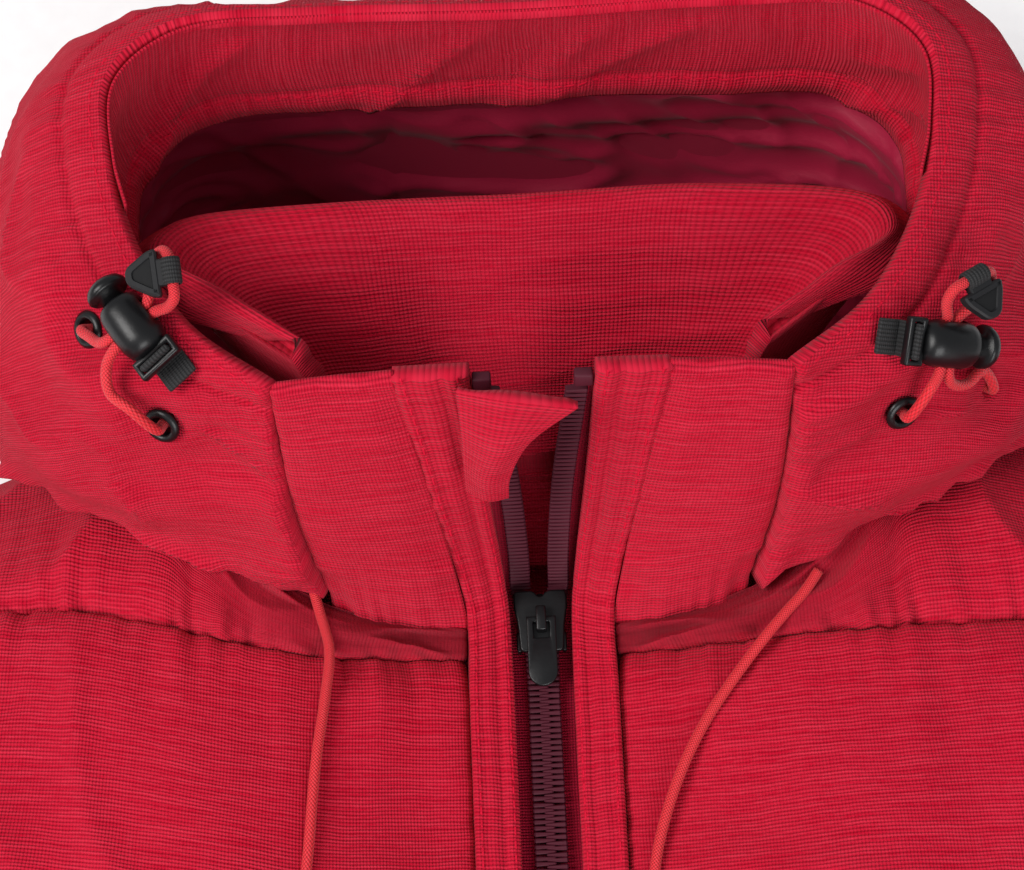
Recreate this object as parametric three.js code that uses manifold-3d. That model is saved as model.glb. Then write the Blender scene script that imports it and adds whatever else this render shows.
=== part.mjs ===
// A padded ski jacket lying on its back, zipped up to the collar, hood folded behind the neck.
// Millimetres. +X is the wearer's left, +Y runs from hem to hood, +Z up from the surface it lies on.
import * as THREE from 'three';
import { LoftGeometry } from 'three/addons/geometries/LoftGeometry.js';
import { mergeVertices } from 'three/addons/utils/BufferGeometryUtils.js';
import Module from 'manifold-3d';

const wasm = await Module();
wasm.setup();

// Clearances
const touchGap = 0.4; // between pieces that are sewn or pressed together
const seamGap = 1.5; // between thick padded panels, whose faces turn at the seam
const slideGap = 0.35; // between pieces that slide on each other

// Body
const chestHalfWidth = 285; // zip to side seam, lying flat
const bodyLength = 640; // neck seam at the front to hem
const hemBandHeight = 34;
const hemThickness = 6;
const sideSeamHeight = 34; // top of the front panel at the side seam
const chestCrownHeight = 98; // fullest point of the chest
const zipHeightAtNeck = 79; // top of the zip valley
const zipFall = 0.03; // how much the zip line drops for each mm towards the hem
const valleyHalfWidth = 88; // from the zip to the crown of the chest
const frontPadding = 17;
const backPadding = 15.5;
const liningSideInset = 0.115; // of the chest's half width, from the side seam to the lining
const roundOver = 90; // width over which the chest rolls down to its side seam
const shoulderRise = 74; // shoulder line carried in to the centre
const yokeSeam = -42; // seam under the yoke, measured from the neck
const yokeSeamBreak = 130; // past this distance from the zip the yoke seam drops
const yokeSeamDrop = 0.25;

// Sleeves
const shoulderPoint = new THREE.Vector2(chestHalfWidth - 63, -13);
const underarmPoint = new THREE.Vector2(chestHalfWidth - 13, -258);
const shoulderSlope = (shoulderRise - shoulderPoint.y) / shoulderPoint.x;
const sleeveLength = 610; // along the top of the arm, shoulder to cuff seam
const sleeveAngle = 46; // degrees out from the body
const sleeveThickness = 80; // lying flat, at the armhole
const wristThickness = 56;
const sleevePadding = 10;
const wristWidth = 112;
const cuffLength = 38;
const cuffPadding = 4;
const cuffTab = { length: 62, width: 26, thickness: 2.4 };

// Collar and placket
const collarPadding = 7;
const placketPadding = 4.5;
const placketHalfWidth = 17.5; // zip to topstitched seam, on the chest
const placketEdge = 7; // zip to folded welt edge, clear of the slider

// Zip
const chainHalfWidth = 3.1; // the two halves leave a gap that the slider's post runs in
const chainHeight = 3;
const chainDrop = 0.9; // top of the chain below the zip line
const tapeWidth = 9;
const tapeThickness = 1;
const tapeDrop = 2.3; // middle of the chain to middle of the tape, on the chest
const collarTapeDrop = 3.2; // and on the collar, behind the placket's edge
const sliderBody = { width: 13, length: 15, plate: 1.8, y: -33, post: 0.6 };
const bail = { width: 2.4, length: 6, foot: 1.4, hole: 2.2, top: 0.9 };
const pullerSize = { width: 7, length: 19, thickness: 1.2, barWidth: 1.4, eye: 3.9 };
const zipBottomMargin = 12; // hem to the end of the chain

// Hood
const hoodPadding = 9;
const rimThickness = 3.4;
const facingThickness = 1.6;
const liningThickness = 1.4;

// Hardware on the hood
const cordDiameter = 2.5;
const eyeletHole = 2.35; // radius
const eyeletFlange = 4.3;
const lock = { radius: 5.4, length: 14, bore: 3.3, depth: 11.5, travel: 2.5, lift: 1.2 };
const buttonCap = { radius: 5, length: 3.6 };
const cordWindow = { from: 2.8, to: 9.2, height: 3.5 };
const webbing = { width: 8, thickness: 1.4, foot: 6.4 };
const pullTab = { width: 10.5, length: 9.5, thickness: 2.4, band: 4.4, bandWidth: 6, base: 2.7 };
const drawcordEnd = { radius: 2.3, length: 13 };

// Pockets
const pocketZip = { x: 176, y: -330, length: 165, width: 11, thickness: 2, lean: 11 };
const pocketSlider = { width: 9, length: 11, height: 4.4 };
const pocketPuller = { width: 6, length: 24, thickness: 1.2, barWidth: 1.4, eye: 3.9 };

const red = { color: 0xc4203c, roughness: 0.85, metalness: 0 };
const wine = { color: 0x5a1022, roughness: 0.5, metalness: 0 };
const darkRed = { color: 0x7a1228, roughness: 0.7, metalness: 0 };
const plum = { color: 0x4a1420, roughness: 0.5, metalness: 0 };
const black = { color: 0x121214, roughness: 0.4, metalness: 0 };
const brightRed = { color: 0xd8142c, roughness: 0.6, metalness: 0 };
const steel = { color: 0x9a9a9a, roughness: 0.35, metalness: 1 };

const jacket = new THREE.Group();

function vec(x, y, z) {
  return new THREE.Vector3(x, y, z);
}

function points2d(pairs) {
  return pairs.map(([x, y]) => new THREE.Vector2(x, y));
}

function mix(a, b, t) {
  return a + (b - a) * t;
}

function clamp01(t) {
  return Math.min(1, Math.max(0, t));
}

function ease(t) {
  const s = clamp01(t);
  return s * s * (3 - 2 * s);
}

// Quarter-round: 0 at the edge, 1 once fully inside.
function roundEdge(t) {
  const s = 1 - clamp01(t);
  return Math.sqrt(1 - s * s);
}

// One closed body: shared vertices merged, faces out.
function closedBody(geometry) {
  const body = new THREE.BufferGeometry().copy(geometry);
  body.deleteAttribute('normal');
  body.deleteAttribute('uv');
  const merged = mergeVertices(body, 1e-4);
  const position = merged.attributes.position;
  const index = merged.index.array;
  const corners = [vec(0, 0, 0), vec(0, 0, 0), vec(0, 0, 0)];
  const kept = [];
  let volume = 0;
  for (let i = 0; i < index.length; i += 3) {
    const [a, b, c] = [index[i], index[i + 1], index[i + 2]];
    if (a === b || b === c || a === c) {
      continue;
    }
    kept.push(a, b, c);
    corners.forEach((corner, k) => corner.fromBufferAttribute(position, index[i + k]));
    volume += corners[0].dot(corners[1].cross(corners[2]));
  }
  merged.setIndex(volume < 0 ? kept.reverse() : kept);
  merged.computeVertexNormals();
  return merged;
}

function toSolid(geometry) {
  const body = closedBody(geometry);
  return new wasm.Manifold(new wasm.Mesh({
    numProp: 3,
    vertProperties: new Float32Array(body.attributes.position.array),
    triVerts: new Uint32Array(body.index.array),
  }));
}

function fromSolid(solid) {
  const mesh = solid.getMesh();
  const geometry = new THREE.BufferGeometry();
  geometry.setAttribute('position', new THREE.BufferAttribute(new Float32Array(mesh.vertProperties), 3));
  geometry.setIndex(Array.from(mesh.triVerts));
  geometry.computeVertexNormals();
  return geometry;
}

function join(...geometries) {
  return fromSolid(geometries.map(toSolid).reduce((whole, part) => whole.add(part)));
}

function cut(geometry, ...cutters) {
  return fromSolid(cutters.map(toSolid).reduce((left, cutter) => left.subtract(cutter), toSolid(geometry)));
}

function addPart(name, geometry, finish, parent = jacket) {
  const mesh = new THREE.Mesh(geometry, new THREE.MeshStandardMaterial(finish));
  mesh.name = name;
  parent.add(mesh);
  return mesh;
}

// A block between two corners.
function block(x0, x1, y0, y1, z0, z1) {
  const box = new THREE.BoxGeometry(x1 - x0, y1 - y0, z1 - z0);
  return box.translate((x0 + x1) / 2, (y0 + y1) / 2, (z0 + z1) / 2);
}

// A surface is a function of (u, v), both 0 to 1. Its normal, by small steps:
function normalOf(surface, u, v) {
  const step = 0.01;
  const [u0, u1] = [Math.max(0, u - step), Math.min(1, u + step)];
  const [v0, v1] = [Math.max(0, v - step), Math.min(1, v + step)];
  const alongU = surface(u1, v).sub(surface(u0, v));
  const alongV = surface(u, v1).sub(surface(u, v0));
  return alongU.cross(alongV).normalize();
}

// The same surface moved along its normal, outwards when distance is positive.
function offset(surface, distance, facing = 1) {
  return (u, v) => {
    const reach = typeof distance === 'function' ? distance(u, v) : distance;
    return surface(u, v).addScaledVector(normalOf(surface, u, v), reach * facing);
  };
}

// Part of a surface, between u0..u1 and v0..v1.
function patch(surface, u0, u1, v0, v1) {
  return (u, v) => surface(mix(u0, u1, u), mix(v0, v1, v));
}

// The mirror image of a surface, on the other side of the zip.
function mirrored(surface) {
  return (u, v) => surface(u, v).multiply(vec(-1, 1, 1));
}

// An end of a sheet: its ring of points closed on to the line midway between its two faces.
function endRing(ring) {
  return ring.map((point, i) => point.clone().add(ring[ring.length - 1 - i]).multiplyScalar(0.5));
}

// A padded sheet: the surface is its outer face, and it is as thick as thick says, inwards.
function paddedSheet(surface, across, along, thick, { facing = 1, wrap = false } = {}) {
  const inner = offset(surface, (u, v) => -(typeof thick === 'function' ? thick(u, v) : thick), facing);
  const sections = [];
  for (let j = 0; j <= along; j++) {
    const v = j / along;
    const ring = [];
    for (let i = 0; i <= across; i++) {
      ring.push(surface(i / across, v));
    }
    for (let i = across; i >= 0; i--) {
      ring.push(inner(i / across, v));
    }
    sections.push(ring);
  }
  if (wrap) {
    sections[along] = sections[0];
  } else {
    sections.unshift(endRing(sections[0]));
    sections.push(endRing(sections[along + 1]));
  }
  return closedBody(new LoftGeometry(sections));
}

// A surface stretched over guide curves, from the first (u = 0) to the last (u = 1).
function overGuides(guides) {
  const curves = guides.map((points) => new THREE.CatmullRomCurve3(points, false, 'centripetal'));
  return (u, v) => {
    const ribs = curves.map((curve) => curve.getPoint(v));
    return new THREE.CatmullRomCurve3(ribs, false, 'centripetal').getPoint(u);
  };
}

// A round cord along chosen points.
function cordAlong(points, diameter, steps, sides = 8) {
  const section = new THREE.Shape();
  for (let i = 0; i < sides; i++) {
    const angle = (i / sides) * Math.PI * 2;
    const [x, y] = [Math.cos(angle) * diameter / 2, Math.sin(angle) * diameter / 2];
    if (i === 0) {
      section.moveTo(x, y);
    } else {
      section.lineTo(x, y);
    }
  }
  const path = new THREE.CatmullRomCurve3(points, false, 'centripetal');
  return closedBody(new THREE.ExtrudeGeometry(section, { steps, bevelEnabled: false, extrudePath: path }));
}

// ---- Shape of the body, lying flat ----

function zipHeight(y) {
  return zipHeightAtNeck + zipFall * Math.min(0, y + 25);
}

function armholeX(y) {
  const t = (y - underarmPoint.y) / (shoulderPoint.y - underarmPoint.y);
  return mix(underarmPoint.x, shoulderPoint.x, clamp01(t));
}

function halfWidth(y) {
  const waist = mix(underarmPoint.x, chestHalfWidth, ease((underarmPoint.y - y) / 60));
  return y < underarmPoint.y ? waist : armholeX(y);
}

function shoulderY(x) {
  return shoulderRise - shoulderSlope * Math.abs(x);
}

// Height of the front where it meets the side seam or the sleeve.
function edgeHeight(y) {
  const t = clamp01((y - underarmPoint.y) / (shoulderPoint.y - underarmPoint.y));
  const arch = Math.sqrt(Math.max(0, 1 - (2 * t - 1) ** 2));
  return sideSeamHeight + (sleeveThickness - sideSeamHeight) * arch;
}

// Height of the jacket's front over the surface it lies on.
function frontHeight(x, y) {
  const crown = chestCrownHeight + 0.02 * Math.min(0, y);
  const core = mix(zipHeight(y) + 2, crown, ease(Math.abs(x) / valleyHalfWidth));
  const edge = edgeHeight(y);
  const across = edge + (core - edge) * roundEdge((halfWidth(y) - Math.abs(x)) / roundOver);
  return sideSeamHeight + (across - sideSeamHeight) * roundEdge((shoulderY(x) - y) / 62);
}

function yokeSeamY(x) {
  return yokeSeam - yokeSeamDrop * Math.max(0, Math.abs(x) - yokeSeamBreak);
}

const neckPlan = new THREE.SplineCurve([
  new THREE.Vector2(17, -34), new THREE.Vector2(47, -30), new THREE.Vector2(64, -20),
  new THREE.Vector2(80, 8), new THREE.Vector2(92, 32),
  new THREE.Vector2(shoulderPoint.x + 1, shoulderY(shoulderPoint.x)),
]);

function yOnNeckPlan(x) {
  let [low, high] = [0, 1];
  for (let i = 0; i < 24; i++) {
    const middle = (low + high) / 2;
    if (neckPlan.getPoint(middle).x < x) {
      low = middle;
    } else {
      high = middle;
    }
  }
  return neckPlan.getPoint(low).y;
}

const panelBottom = -bodyLength + hemBandHeight; // where the panels meet the hem band

function frontPanel(u, v) {
  const nominalX = mix(placketHalfWidth, shoulderPoint.x, u);
  const y = mix(yokeSeamY(nominalX) - touchGap, panelBottom + touchGap, v);
  const x = mix(placketHalfWidth + seamGap, halfWidth(y) - touchGap, u);
  return vec(x, y, frontHeight(x, y));
}

function yoke(u, v) {
  const nominalX = mix(placketHalfWidth, shoulderPoint.x, v);
  const y = mix(yokeSeamY(nominalX) + seamGap, yOnNeckPlan(nominalX) - touchGap, u);
  const x = mix(placketHalfWidth + touchGap, armholeX(y) - touchGap, v);
  return vec(x, y, frontHeight(x, y));
}

// The back lies on the ground and lifts at the neck, over the folded hood.
function backLift(x, y) {
  return 46 * ease((y + 74) / 74) * ease((100 - Math.abs(x)) / 34);
}

function backPanel(u, v) {
  const side = mix(-1, 1, u);
  const reach = shoulderPoint.x * Math.abs(side);
  const top = mix(0, shoulderY(reach), ease((reach - 88) / 26)) - touchGap;
  const y = mix(panelBottom + touchGap, top, v);
  const x = side * (halfWidth(y) - touchGap);
  return vec(x, y, backLift(x, y) + backPadding);
}

// Once round the body at y, from one side of the zip to the other by way of the back.
function girth(y, frontInset, backInset, sideInset) {
  const half = halfWidth(y) - sideInset;
  const over = [placketHalfWidth + 2 * seamGap, half * 0.3, half * 0.55, half * 0.76, half * 0.9];
  const points = over.map((x) => new THREE.Vector2(x, frontHeight(x, y) - frontInset));
  points.push(new THREE.Vector2(half, mix(backInset, frontHeight(half, y) - frontInset, 0.45)));
  points.push(new THREE.Vector2(half * 0.93, backInset));
  points.push(new THREE.Vector2(half * 0.5, backInset));
  const otherSide = points.map((p) => new THREE.Vector2(-p.x, p.y)).reverse();
  return new THREE.SplineCurve([...points, ...otherSide]);
}

function round(from, to, frontInset, backInset, sideInset) {
  return (u, v) => {
    const y = mix(from, to, u);
    const p = girth(y, frontInset, backInset, sideInset).getPoint(v);
    return vec(p.x, y, p.y);
  };
}

// Builds something on both sides: left is the wearer's left, at +X.
function onBothSides(build) {
  build('left', (surface) => surface, 1);
  build('right', mirrored, -1);
}

function addBody() {
  onBothSides((side, place, sign) => {
    const front = paddedSheet(place(frontPanel), 8, 11, frontPadding, { facing: -sign });
    addPart(`front_panel_${side}`, front, red);
    addPart(`yoke_${side}`, paddedSheet(place(yoke), 5, 11, frontPadding, { facing: -sign }), red);
  });
  addPart('back_panel', paddedSheet(backPanel, 12, 11, backPadding), red);
  const band = round(panelBottom - touchGap, -bodyLength, 1.5, 1.6, 1);
  addPart('hem_band', paddedSheet(band, 2, 30, hemThickness, { facing: 1 }), red);
  const sideInset = liningSideInset * chestHalfWidth;
  const lining = round(yokeSeam - 60, panelBottom + 3, frontPadding + 3, backPadding + 4, sideInset);
  addPart('body_lining', paddedSheet(lining, 4, 24, liningThickness, { facing: 1 }), wine);
}

// ---- Sleeves ----

const armDirection = new THREE.Vector2(0, -1).rotateAround(new THREE.Vector2(), sleeveAngle * Math.PI / 180);
const acrossArm = new THREE.Vector2(-armDirection.y, armDirection.x).multiplyScalar(-1);

// The arm's outer and inner edges in plan, at t from the armhole (0) to the cuff seam (1).
function armEdges(t) {
  const outerEnd = shoulderPoint.clone().addScaledVector(armDirection, sleeveLength);
  const innerEnd = outerEnd.clone().addScaledVector(acrossArm, wristWidth);
  const elbow = 9 * Math.sin(Math.PI * clamp01(t));
  const outer = shoulderPoint.clone().lerp(outerEnd, t).addScaledVector(acrossArm, -elbow);
  return [outer, underarmPoint.clone().lerp(innerEnd, t)];
}

// A point on a flattened oval between two edges in plan. It lies on its flat underside.
function flatOval(outer, inner, height, turn) {
  const [c, s] = [Math.cos(turn), Math.sin(turn)];
  const middle = outer.clone().add(inner).multiplyScalar(0.5);
  const arm = outer.clone().sub(inner).multiplyScalar(0.5);
  const rise = s >= 0 ? s : -(Math.abs(s) ** 0.45);
  return vec(middle.x + arm.x * c, middle.y + arm.y * c, height / 2 * (1 + rise));
}

function sleeve(u, v) {
  const [outer, inner] = armEdges(u);
  const slack = acrossArm.clone().multiplyScalar(touchGap);
  const height = mix(sleeveThickness, wristThickness, u);
  const point = flatOval(outer.sub(slack), inner.sub(slack), height, v * Math.PI * 2);
  return point.add(vec(armDirection.x, armDirection.y, 0).multiplyScalar(mix(2 * touchGap, 0, u)));
}

function cuff(u, v) {
  const [outer, inner] = armEdges(1);
  const along = armDirection.clone().multiplyScalar(2 * seamGap + cuffLength * u);
  const gather = 7 - 3 * u;
  outer.add(along).addScaledVector(acrossArm, gather);
  inner.add(along).addScaledVector(acrossArm, -gather);
  return flatOval(outer, inner, wristThickness - gather, v * Math.PI * 2);
}

// Everything on the body's side of the armhole, to trim the sleeve's slanted end.
function insideArmhole(sign) {
  const seam = underarmPoint.clone().sub(shoulderPoint);
  const side = block(-200, 2 * touchGap, -seam.length() - 60, 60, -20, 120);
  side.rotateZ(Math.atan2(seam.x, -seam.y));
  side.translate(shoulderPoint.x, shoulderPoint.y, 0);
  return sign > 0 ? side : side.rotateY(Math.PI).translate(0, 0, 100);
}

function addSleeves() {
  onBothSides((side, place, sign) => {
    const facing = -sign;
    const arm = paddedSheet(place(sleeve), 7, 16, sleevePadding, { facing, wrap: true });
    addPart(`sleeve_${side}`, cut(arm, insideArmhole(sign)), red);
    addPart(`cuff_${side}`, paddedSheet(place(cuff), 2, 16, cuffPadding, { facing, wrap: true }), red);
    const reach = cuffTab.length / (wristWidth * 2.6);
    const start = 1 - (cuffTab.width + 6) / sleeveLength;
    const band = patch(sleeve, start, 1 - 6 / sleeveLength, 0.14, 0.14 + reach);
    const lifted = offset(band, cuffTab.thickness + touchGap, -1);
    const tab = paddedSheet(place(lifted), 2, 8, cuffTab.thickness, { facing });
    addPart(`cuff_tab_${side}`, tab, black);
  });
}

// ---- Collar, placket and zip ----

const chainEnd = -bodyLength + zipBottomMargin;
const chainCentre = sliderBody.post + slideGap + chainHalfWidth / 2;

function onZip(x, y) {
  return vec(x, y, zipHeight(y) - chainDrop - chainHeight / 2);
}

// Where the middle of one half of the chain runs, from hem to collar.
const chainRoute = [
  onZip(chainCentre, chainEnd), onZip(chainCentre, -300), onZip(chainCentre, sliderBody.y - 40),
  onZip(chainCentre, sliderBody.y - 14), onZip(chainCentre + 0.4, sliderBody.y - 5),
  onZip(chainCentre + 1.9, sliderBody.y + 2), onZip(chainCentre + 2.9, sliderBody.y + 7.5),
  onZip(chainCentre + 3.2, sliderBody.y + 9.6), vec(5.9, -18.7, 90), vec(7.4, -9.6, 116), vec(10.9, 1.6, 146),
];

const chainCurve = new THREE.CatmullRomCurve3(chainRoute, false, 'centripetal');

// The chain's middle at v, and the way its face looks there: up on the chest, forwards on the collar.
function chainAt(v) {
  const tangent = chainCurve.getTangent(v);
  return { centre: chainCurve.getPoint(v), face: vec(0, -tangent.z, tangent.y).normalize() };
}

function chainFace(u, v) {
  const { centre, face } = chainAt(v);
  return centre.addScaledVector(face, chainHeight / 2).add(vec(mix(-0.5, 0.5, u) * chainHalfWidth, 0, 0));
}

// The tape lies behind the chain, from the chain's inner edge outwards.
function tape(u, v) {
  const { centre, face } = chainAt(v);
  const drop = mix(tapeDrop, collarTapeDrop, ease((centre.z - 80) / 12)) - tapeThickness / 2;
  return centre.addScaledVector(face, -drop).add(vec(tapeWidth * u - chainHalfWidth / 2, 0, 0));
}

const placketRows = [-51, -120, -380, -bodyLength + 4];
const placket = overGuides([
  [vec(14, 1.5, 154), vec(10.8, -12.4, 117), vec(8.8, -21, 94), vec(7.4, -30, 84),
    ...placketRows.map((y) => vec(placketEdge, y, frontHeight(placketEdge, y) + 1))],
  [vec(30.8, 2, 153), vec(24, -14.6, 118), vec(20, -23, 96), vec(17.3, -33, 85),
    ...placketRows.map((y) => vec(placketHalfWidth, y, frontHeight(placketHalfWidth, y) + 1))],
]);

const collarFront = overGuides([
  [vec(19.6, -28.2, 82), vec(33, -27.6, 83), vec(48, -25, 85)],
  [vec(26, -15, 118), vec(38, -14.5, 119), vec(53.5, -12, 119)],
  [vec(32.2, 2, 153), vec(44, 2, 152.5), vec(57, 1, 151)],
]);

function bothWays(half) {
  const other = half.slice(1).map((p) => vec(-p.x, p.y, p.z)).reverse();
  return [...other, ...half];
}

// The inside of the collar, round the back of the neck. It lies open, towards the hood.
const collarBack = overGuides([
  bothWays([vec(0, 53, 125), vec(40, 53, 125.5), vec(64, 49, 128), vec(70, 38, 133), vec(63, 22, 141),
    vec(50, 13.5, 145)]),
  bothWays([vec(0, 26, 112), vec(36, 25, 112), vec(53, 22, 114), vec(56, 15, 117), vec(51, 8, 120),
    vec(44, 2.5, 122)]),
  bothWays([vec(0, 9, 86), vec(30, 8, 86), vec(44, 5, 87), vec(48, -1, 88), vec(46, -6, 90),
    vec(41, -10.5, 92)]),
  bothWays([vec(0, 6, 66), vec(28, 5, 66), vec(42, 2, 66), vec(46, -3, 67), vec(44, -7.5, 68),
    vec(39.5, -12, 70)]),
]);

// The corner of the collar's facing that lies turned out over the top of the zip.
const turnedCorner = overGuides([
  [vec(-15.5, -14.4, 128), vec(-5, -16.4, 127)],
  [vec(-15.4, -9.8, 143), vec(2.5, -12, 143)],
  [vec(-15, -5, 157.5), vec(9, -8, 157)],
]);

function sliderGeometry() {
  const { width, length, plate, post } = sliderBody;
  const top = -chainDrop + slideGap;
  const underTape = -chainDrop - chainHeight / 2 - tapeDrop - tapeThickness / 2 - slideGap;
  const overTape = underTape + tapeThickness + 2 * slideGap;
  const half = width / 2;
  const flange = chainCentre + 0.5 + chainHalfWidth / 2 + slideGap;
  const parts = [
    block(-half, half, -length / 2, length / 2, top, top + plate),
    block(-half, half, -length / 2, length / 2, underTape - plate, underTape),
    block(-post, post, length / 2 - 6, length / 2 - 0.6, underTape - 0.5, top + 0.5),
    block(flange, half, -length / 2, -2.6, overTape, top + 0.5),
    block(-half, -flange, -length / 2, -2.6, overTape, top + 0.5),
    block(-bail.width / 2, bail.width / 2, -bail.length / 2, bail.length / 2,
      top + plate - 0.3, top + plate + bail.hole + bail.top),
  ];
  const hole = bail.length / 2 - bail.foot;
  const eye = block(-bail.width, bail.width, -hole, hole, top + plate, top + plate + bail.hole);
  return cut(join(...parts), eye);
}

// A flat puller: an eye round the bail, then a plate with a round end.
function pullerGeometry(size, plateTop) {
  const shape = new THREE.Shape();
  const half = size.width / 2;
  const end = size.barWidth / 2 - size.length + half;
  shape.moveTo(-half, size.barWidth / 2);
  shape.lineTo(-half, end);
  shape.absarc(0, end, half, Math.PI, Math.PI * 2, false);
  shape.lineTo(half, size.barWidth / 2);
  const eye = new THREE.Path();
  const inner = half - 1.7;
  eye.moveTo(-inner, -size.barWidth / 2);
  eye.lineTo(inner, -size.barWidth / 2);
  eye.lineTo(inner, -size.barWidth / 2 - size.eye);
  eye.lineTo(-inner, -size.barWidth / 2 - size.eye);
  shape.holes.push(eye);
  const depth = size.thickness;
  const plate = new THREE.ExtrudeGeometry(shape, { depth, bevelEnabled: false, curveSegments: 8 });
  return closedBody(plate.translate(0, 0, plateTop));
}

function addZip() {
  onBothSides((side, place, sign) => {
    const facing = sign;
    addPart(`zip_chain_${side}`, paddedSheet(place(chainFace), 2, 32, chainHeight, { facing }), plum);
    addPart(`zip_tape_${side}`, paddedSheet(place(tape), 2, 32, tapeThickness, { facing }), darkRed);
    const stop = block(-2.2, 2.2, -1.5, 1.5, -2, 2).rotateX(-0.3).translate(11.2 * sign, 2.3, 149.2);
    addPart(`zip_top_stop_${side}`, closedBody(stop), black);
    addPart(`placket_${side}`, paddedSheet(place(placket), 2, 22, placketPadding, { facing: -sign }), red);
    const front = paddedSheet(place(collarFront), 5, 4, collarPadding, { facing: -sign });
    addPart(`collar_front_${side}`, front, red);
  });
  const boxTop = chainEnd - touchGap;
  const box = block(-5, 5, boxTop - 8, boxTop, zipHeight(chainEnd) - 6, zipHeight(chainEnd) - 0.2);
  addPart('zip_retainer_box', closedBody(box), black);
  addPart('collar_back', paddedSheet(collarBack, 6, 14, 5, { facing: 1 }), red);
  addPart('chin_guard', paddedSheet(turnedCorner, 4, 4, 2, { facing: 1 }), red);
  const slope = Math.atan(zipFall);
  const slider = new THREE.Group();
  slider.position.set(0, sliderBody.y, zipHeight(sliderBody.y));
  slider.rotation.x = slope;
  jacket.add(slider);
  addPart('zip_slider', sliderGeometry(), black, slider);
  const eyeFloor = -chainDrop + slideGap + sliderBody.plate;
  addPart('zip_puller', pullerGeometry(pullerSize, eyeFloor + 0.45), black, slider);
}

// ---- Hood ----

const hoodWall = overGuides([
  bothWays([vec(0, 95, 150), vec(46, 95.5, 151), vec(80, 93, 151.5), vec(94, 80, 152), vec(94, 60, 152),
    vec(89, 40, 151), vec(77, 19, 151), vec(59.5, 2, 152)]),
  bothWays([vec(0, 103, 138), vec(50, 103, 139), vec(90, 101, 142), vec(109, 84, 142), vec(110, 60, 143),
    vec(103, 35, 143), vec(87, 9, 143), vec(61, -6, 142)]),
  bothWays([vec(0, 117, 66), vec(55, 116, 68), vec(104, 106, 74), vec(127, 82, 84), vec(130, 56, 98),
    vec(121, 30, 114), vec(103, 2, 118), vec(62, -20, 118)]),
  bothWays([vec(0, 111, 8), vec(60, 112, 8), vec(104, 100, 8), vec(125, 77, 10), vec(131, 56, 26),
    vec(127, 33, 64), vec(109, 3, 99), vec(62, -29, 101)]),
]);

function hoodThickness(u) {
  return mix(rimThickness, hoodPadding, ease(u / 0.4));
}

// The hood's wall is cut into three panels by two seams.
const hoodSeam = 6 / 14;

// The facing sewn inside the hood's brim.
const brimFacing = overGuides([
  bothWays([vec(0, 90.6, 147.2), vec(46, 91, 148), vec(76, 88, 148.5), vec(88.6, 77, 149), vec(89, 60, 149)]),
  bothWays([vec(0, 91, 128), vec(47, 91, 128), vec(79, 87, 129), vec(91, 75, 130), vec(92, 58, 131)]),
  bothWays([vec(0, 90.5, 109), vec(45, 90.5, 109), vec(77, 86.5, 111), vec(88, 73, 113), vec(88, 56, 115)]),
]);

const hoodLining = overGuides([
  bothWays([vec(0, 88, 106), vec(44, 88, 106), vec(74, 84, 108), vec(80, 70, 110), vec(79, 54, 112)]),
  bothWays([vec(0, 97, 60), vec(48, 97, 60), vec(84, 90, 62), vec(96, 72, 66), vec(96, 56, 72)]),
  bothWays([vec(0, 80, 24), vec(44, 80, 24), vec(70, 76, 26), vec(82, 66, 34), vec(84, 54, 50)]),
  bothWays([vec(0, 40, 32), vec(34, 40, 32), vec(54, 42, 34), vec(66, 46, 44), vec(72, 48, 58)]),
  bothWays([vec(0, 26, 74), vec(30, 26, 74), vec(50, 28, 76), vec(60, 34, 82), vec(66, 42, 90)]),
]);

// The crown of the hood, folded flat beneath the neck.
function hoodCrown(u, v) {
  const angle = mix(-0.08, Math.PI + 0.08, v);
  const reach = vec(92 * Math.cos(angle), 70 * Math.sin(angle), 0);
  return vec(reach.x * u, 26 + reach.y * u + 6 * (1 - u), 6);
}

// The spot on a surface that is nearest to a place in plan.
function spotOn(surface, x, y) {
  let best = { u: 0, v: 0, miss: Infinity };
  let [u0, v0, span] = [0.5, 0.5, 0.5];
  for (let round = 0; round < 6; round++) {
    for (let i = 0; i <= 20; i++) {
      for (let j = 0; j <= 20; j++) {
        const u = clamp01(u0 + span * (i / 10 - 1));
        const v = clamp01(v0 + span * (j / 10 - 1));
        const point = surface(u, v);
        const miss = Math.hypot(point.x - x, point.y - y);
        if (miss < best.miss) {
          best = { u, v, miss, point };
        }
      }
    }
    [u0, v0, span] = [best.u, best.v, span / 6];
  }
  const up = normalOf(surface, best.u, best.v);
  return { ...best, normal: up.z < 0 ? up.negate() : up };
}

const eyeletPlaces = {
  right_upper: [-99, 22], right_lower: [-83, 0], left_lower: [83, -3], left_upper: [104, 6],
};
const eyelets = Object.entries(eyeletPlaces).map(([name, [x, y]]) => ({ name, ...spotOn(hoodWall, x, y) }));

function alignedTo(normal) {
  return new THREE.Quaternion().setFromUnitVectors(vec(0, 1, 0), normal);
}

function eyeletGeometry() {
  const barrel = eyeletHole + 0.65;
  const profile = points2d([
    [eyeletHole, 1], [eyeletHole, -4], [barrel, -4], [barrel, 0.2], [eyeletFlange, 0.2],
    [eyeletFlange, 0.7], [eyeletFlange - 0.6, 1.2], [eyeletHole + 0.5, 1.2], [eyeletHole, 1],
  ]);
  return closedBody(new THREE.LatheGeometry(profile, 14));
}

function eyeletHoleAt({ point, normal }) {
  const hole = new THREE.CylinderGeometry(eyeletHole + 0.65 + slideGap, eyeletHole + 0.65 + slideGap, 40, 18);
  return hole.applyQuaternion(alignedTo(normal)).translate(point.x, point.y, point.z);
}

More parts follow.
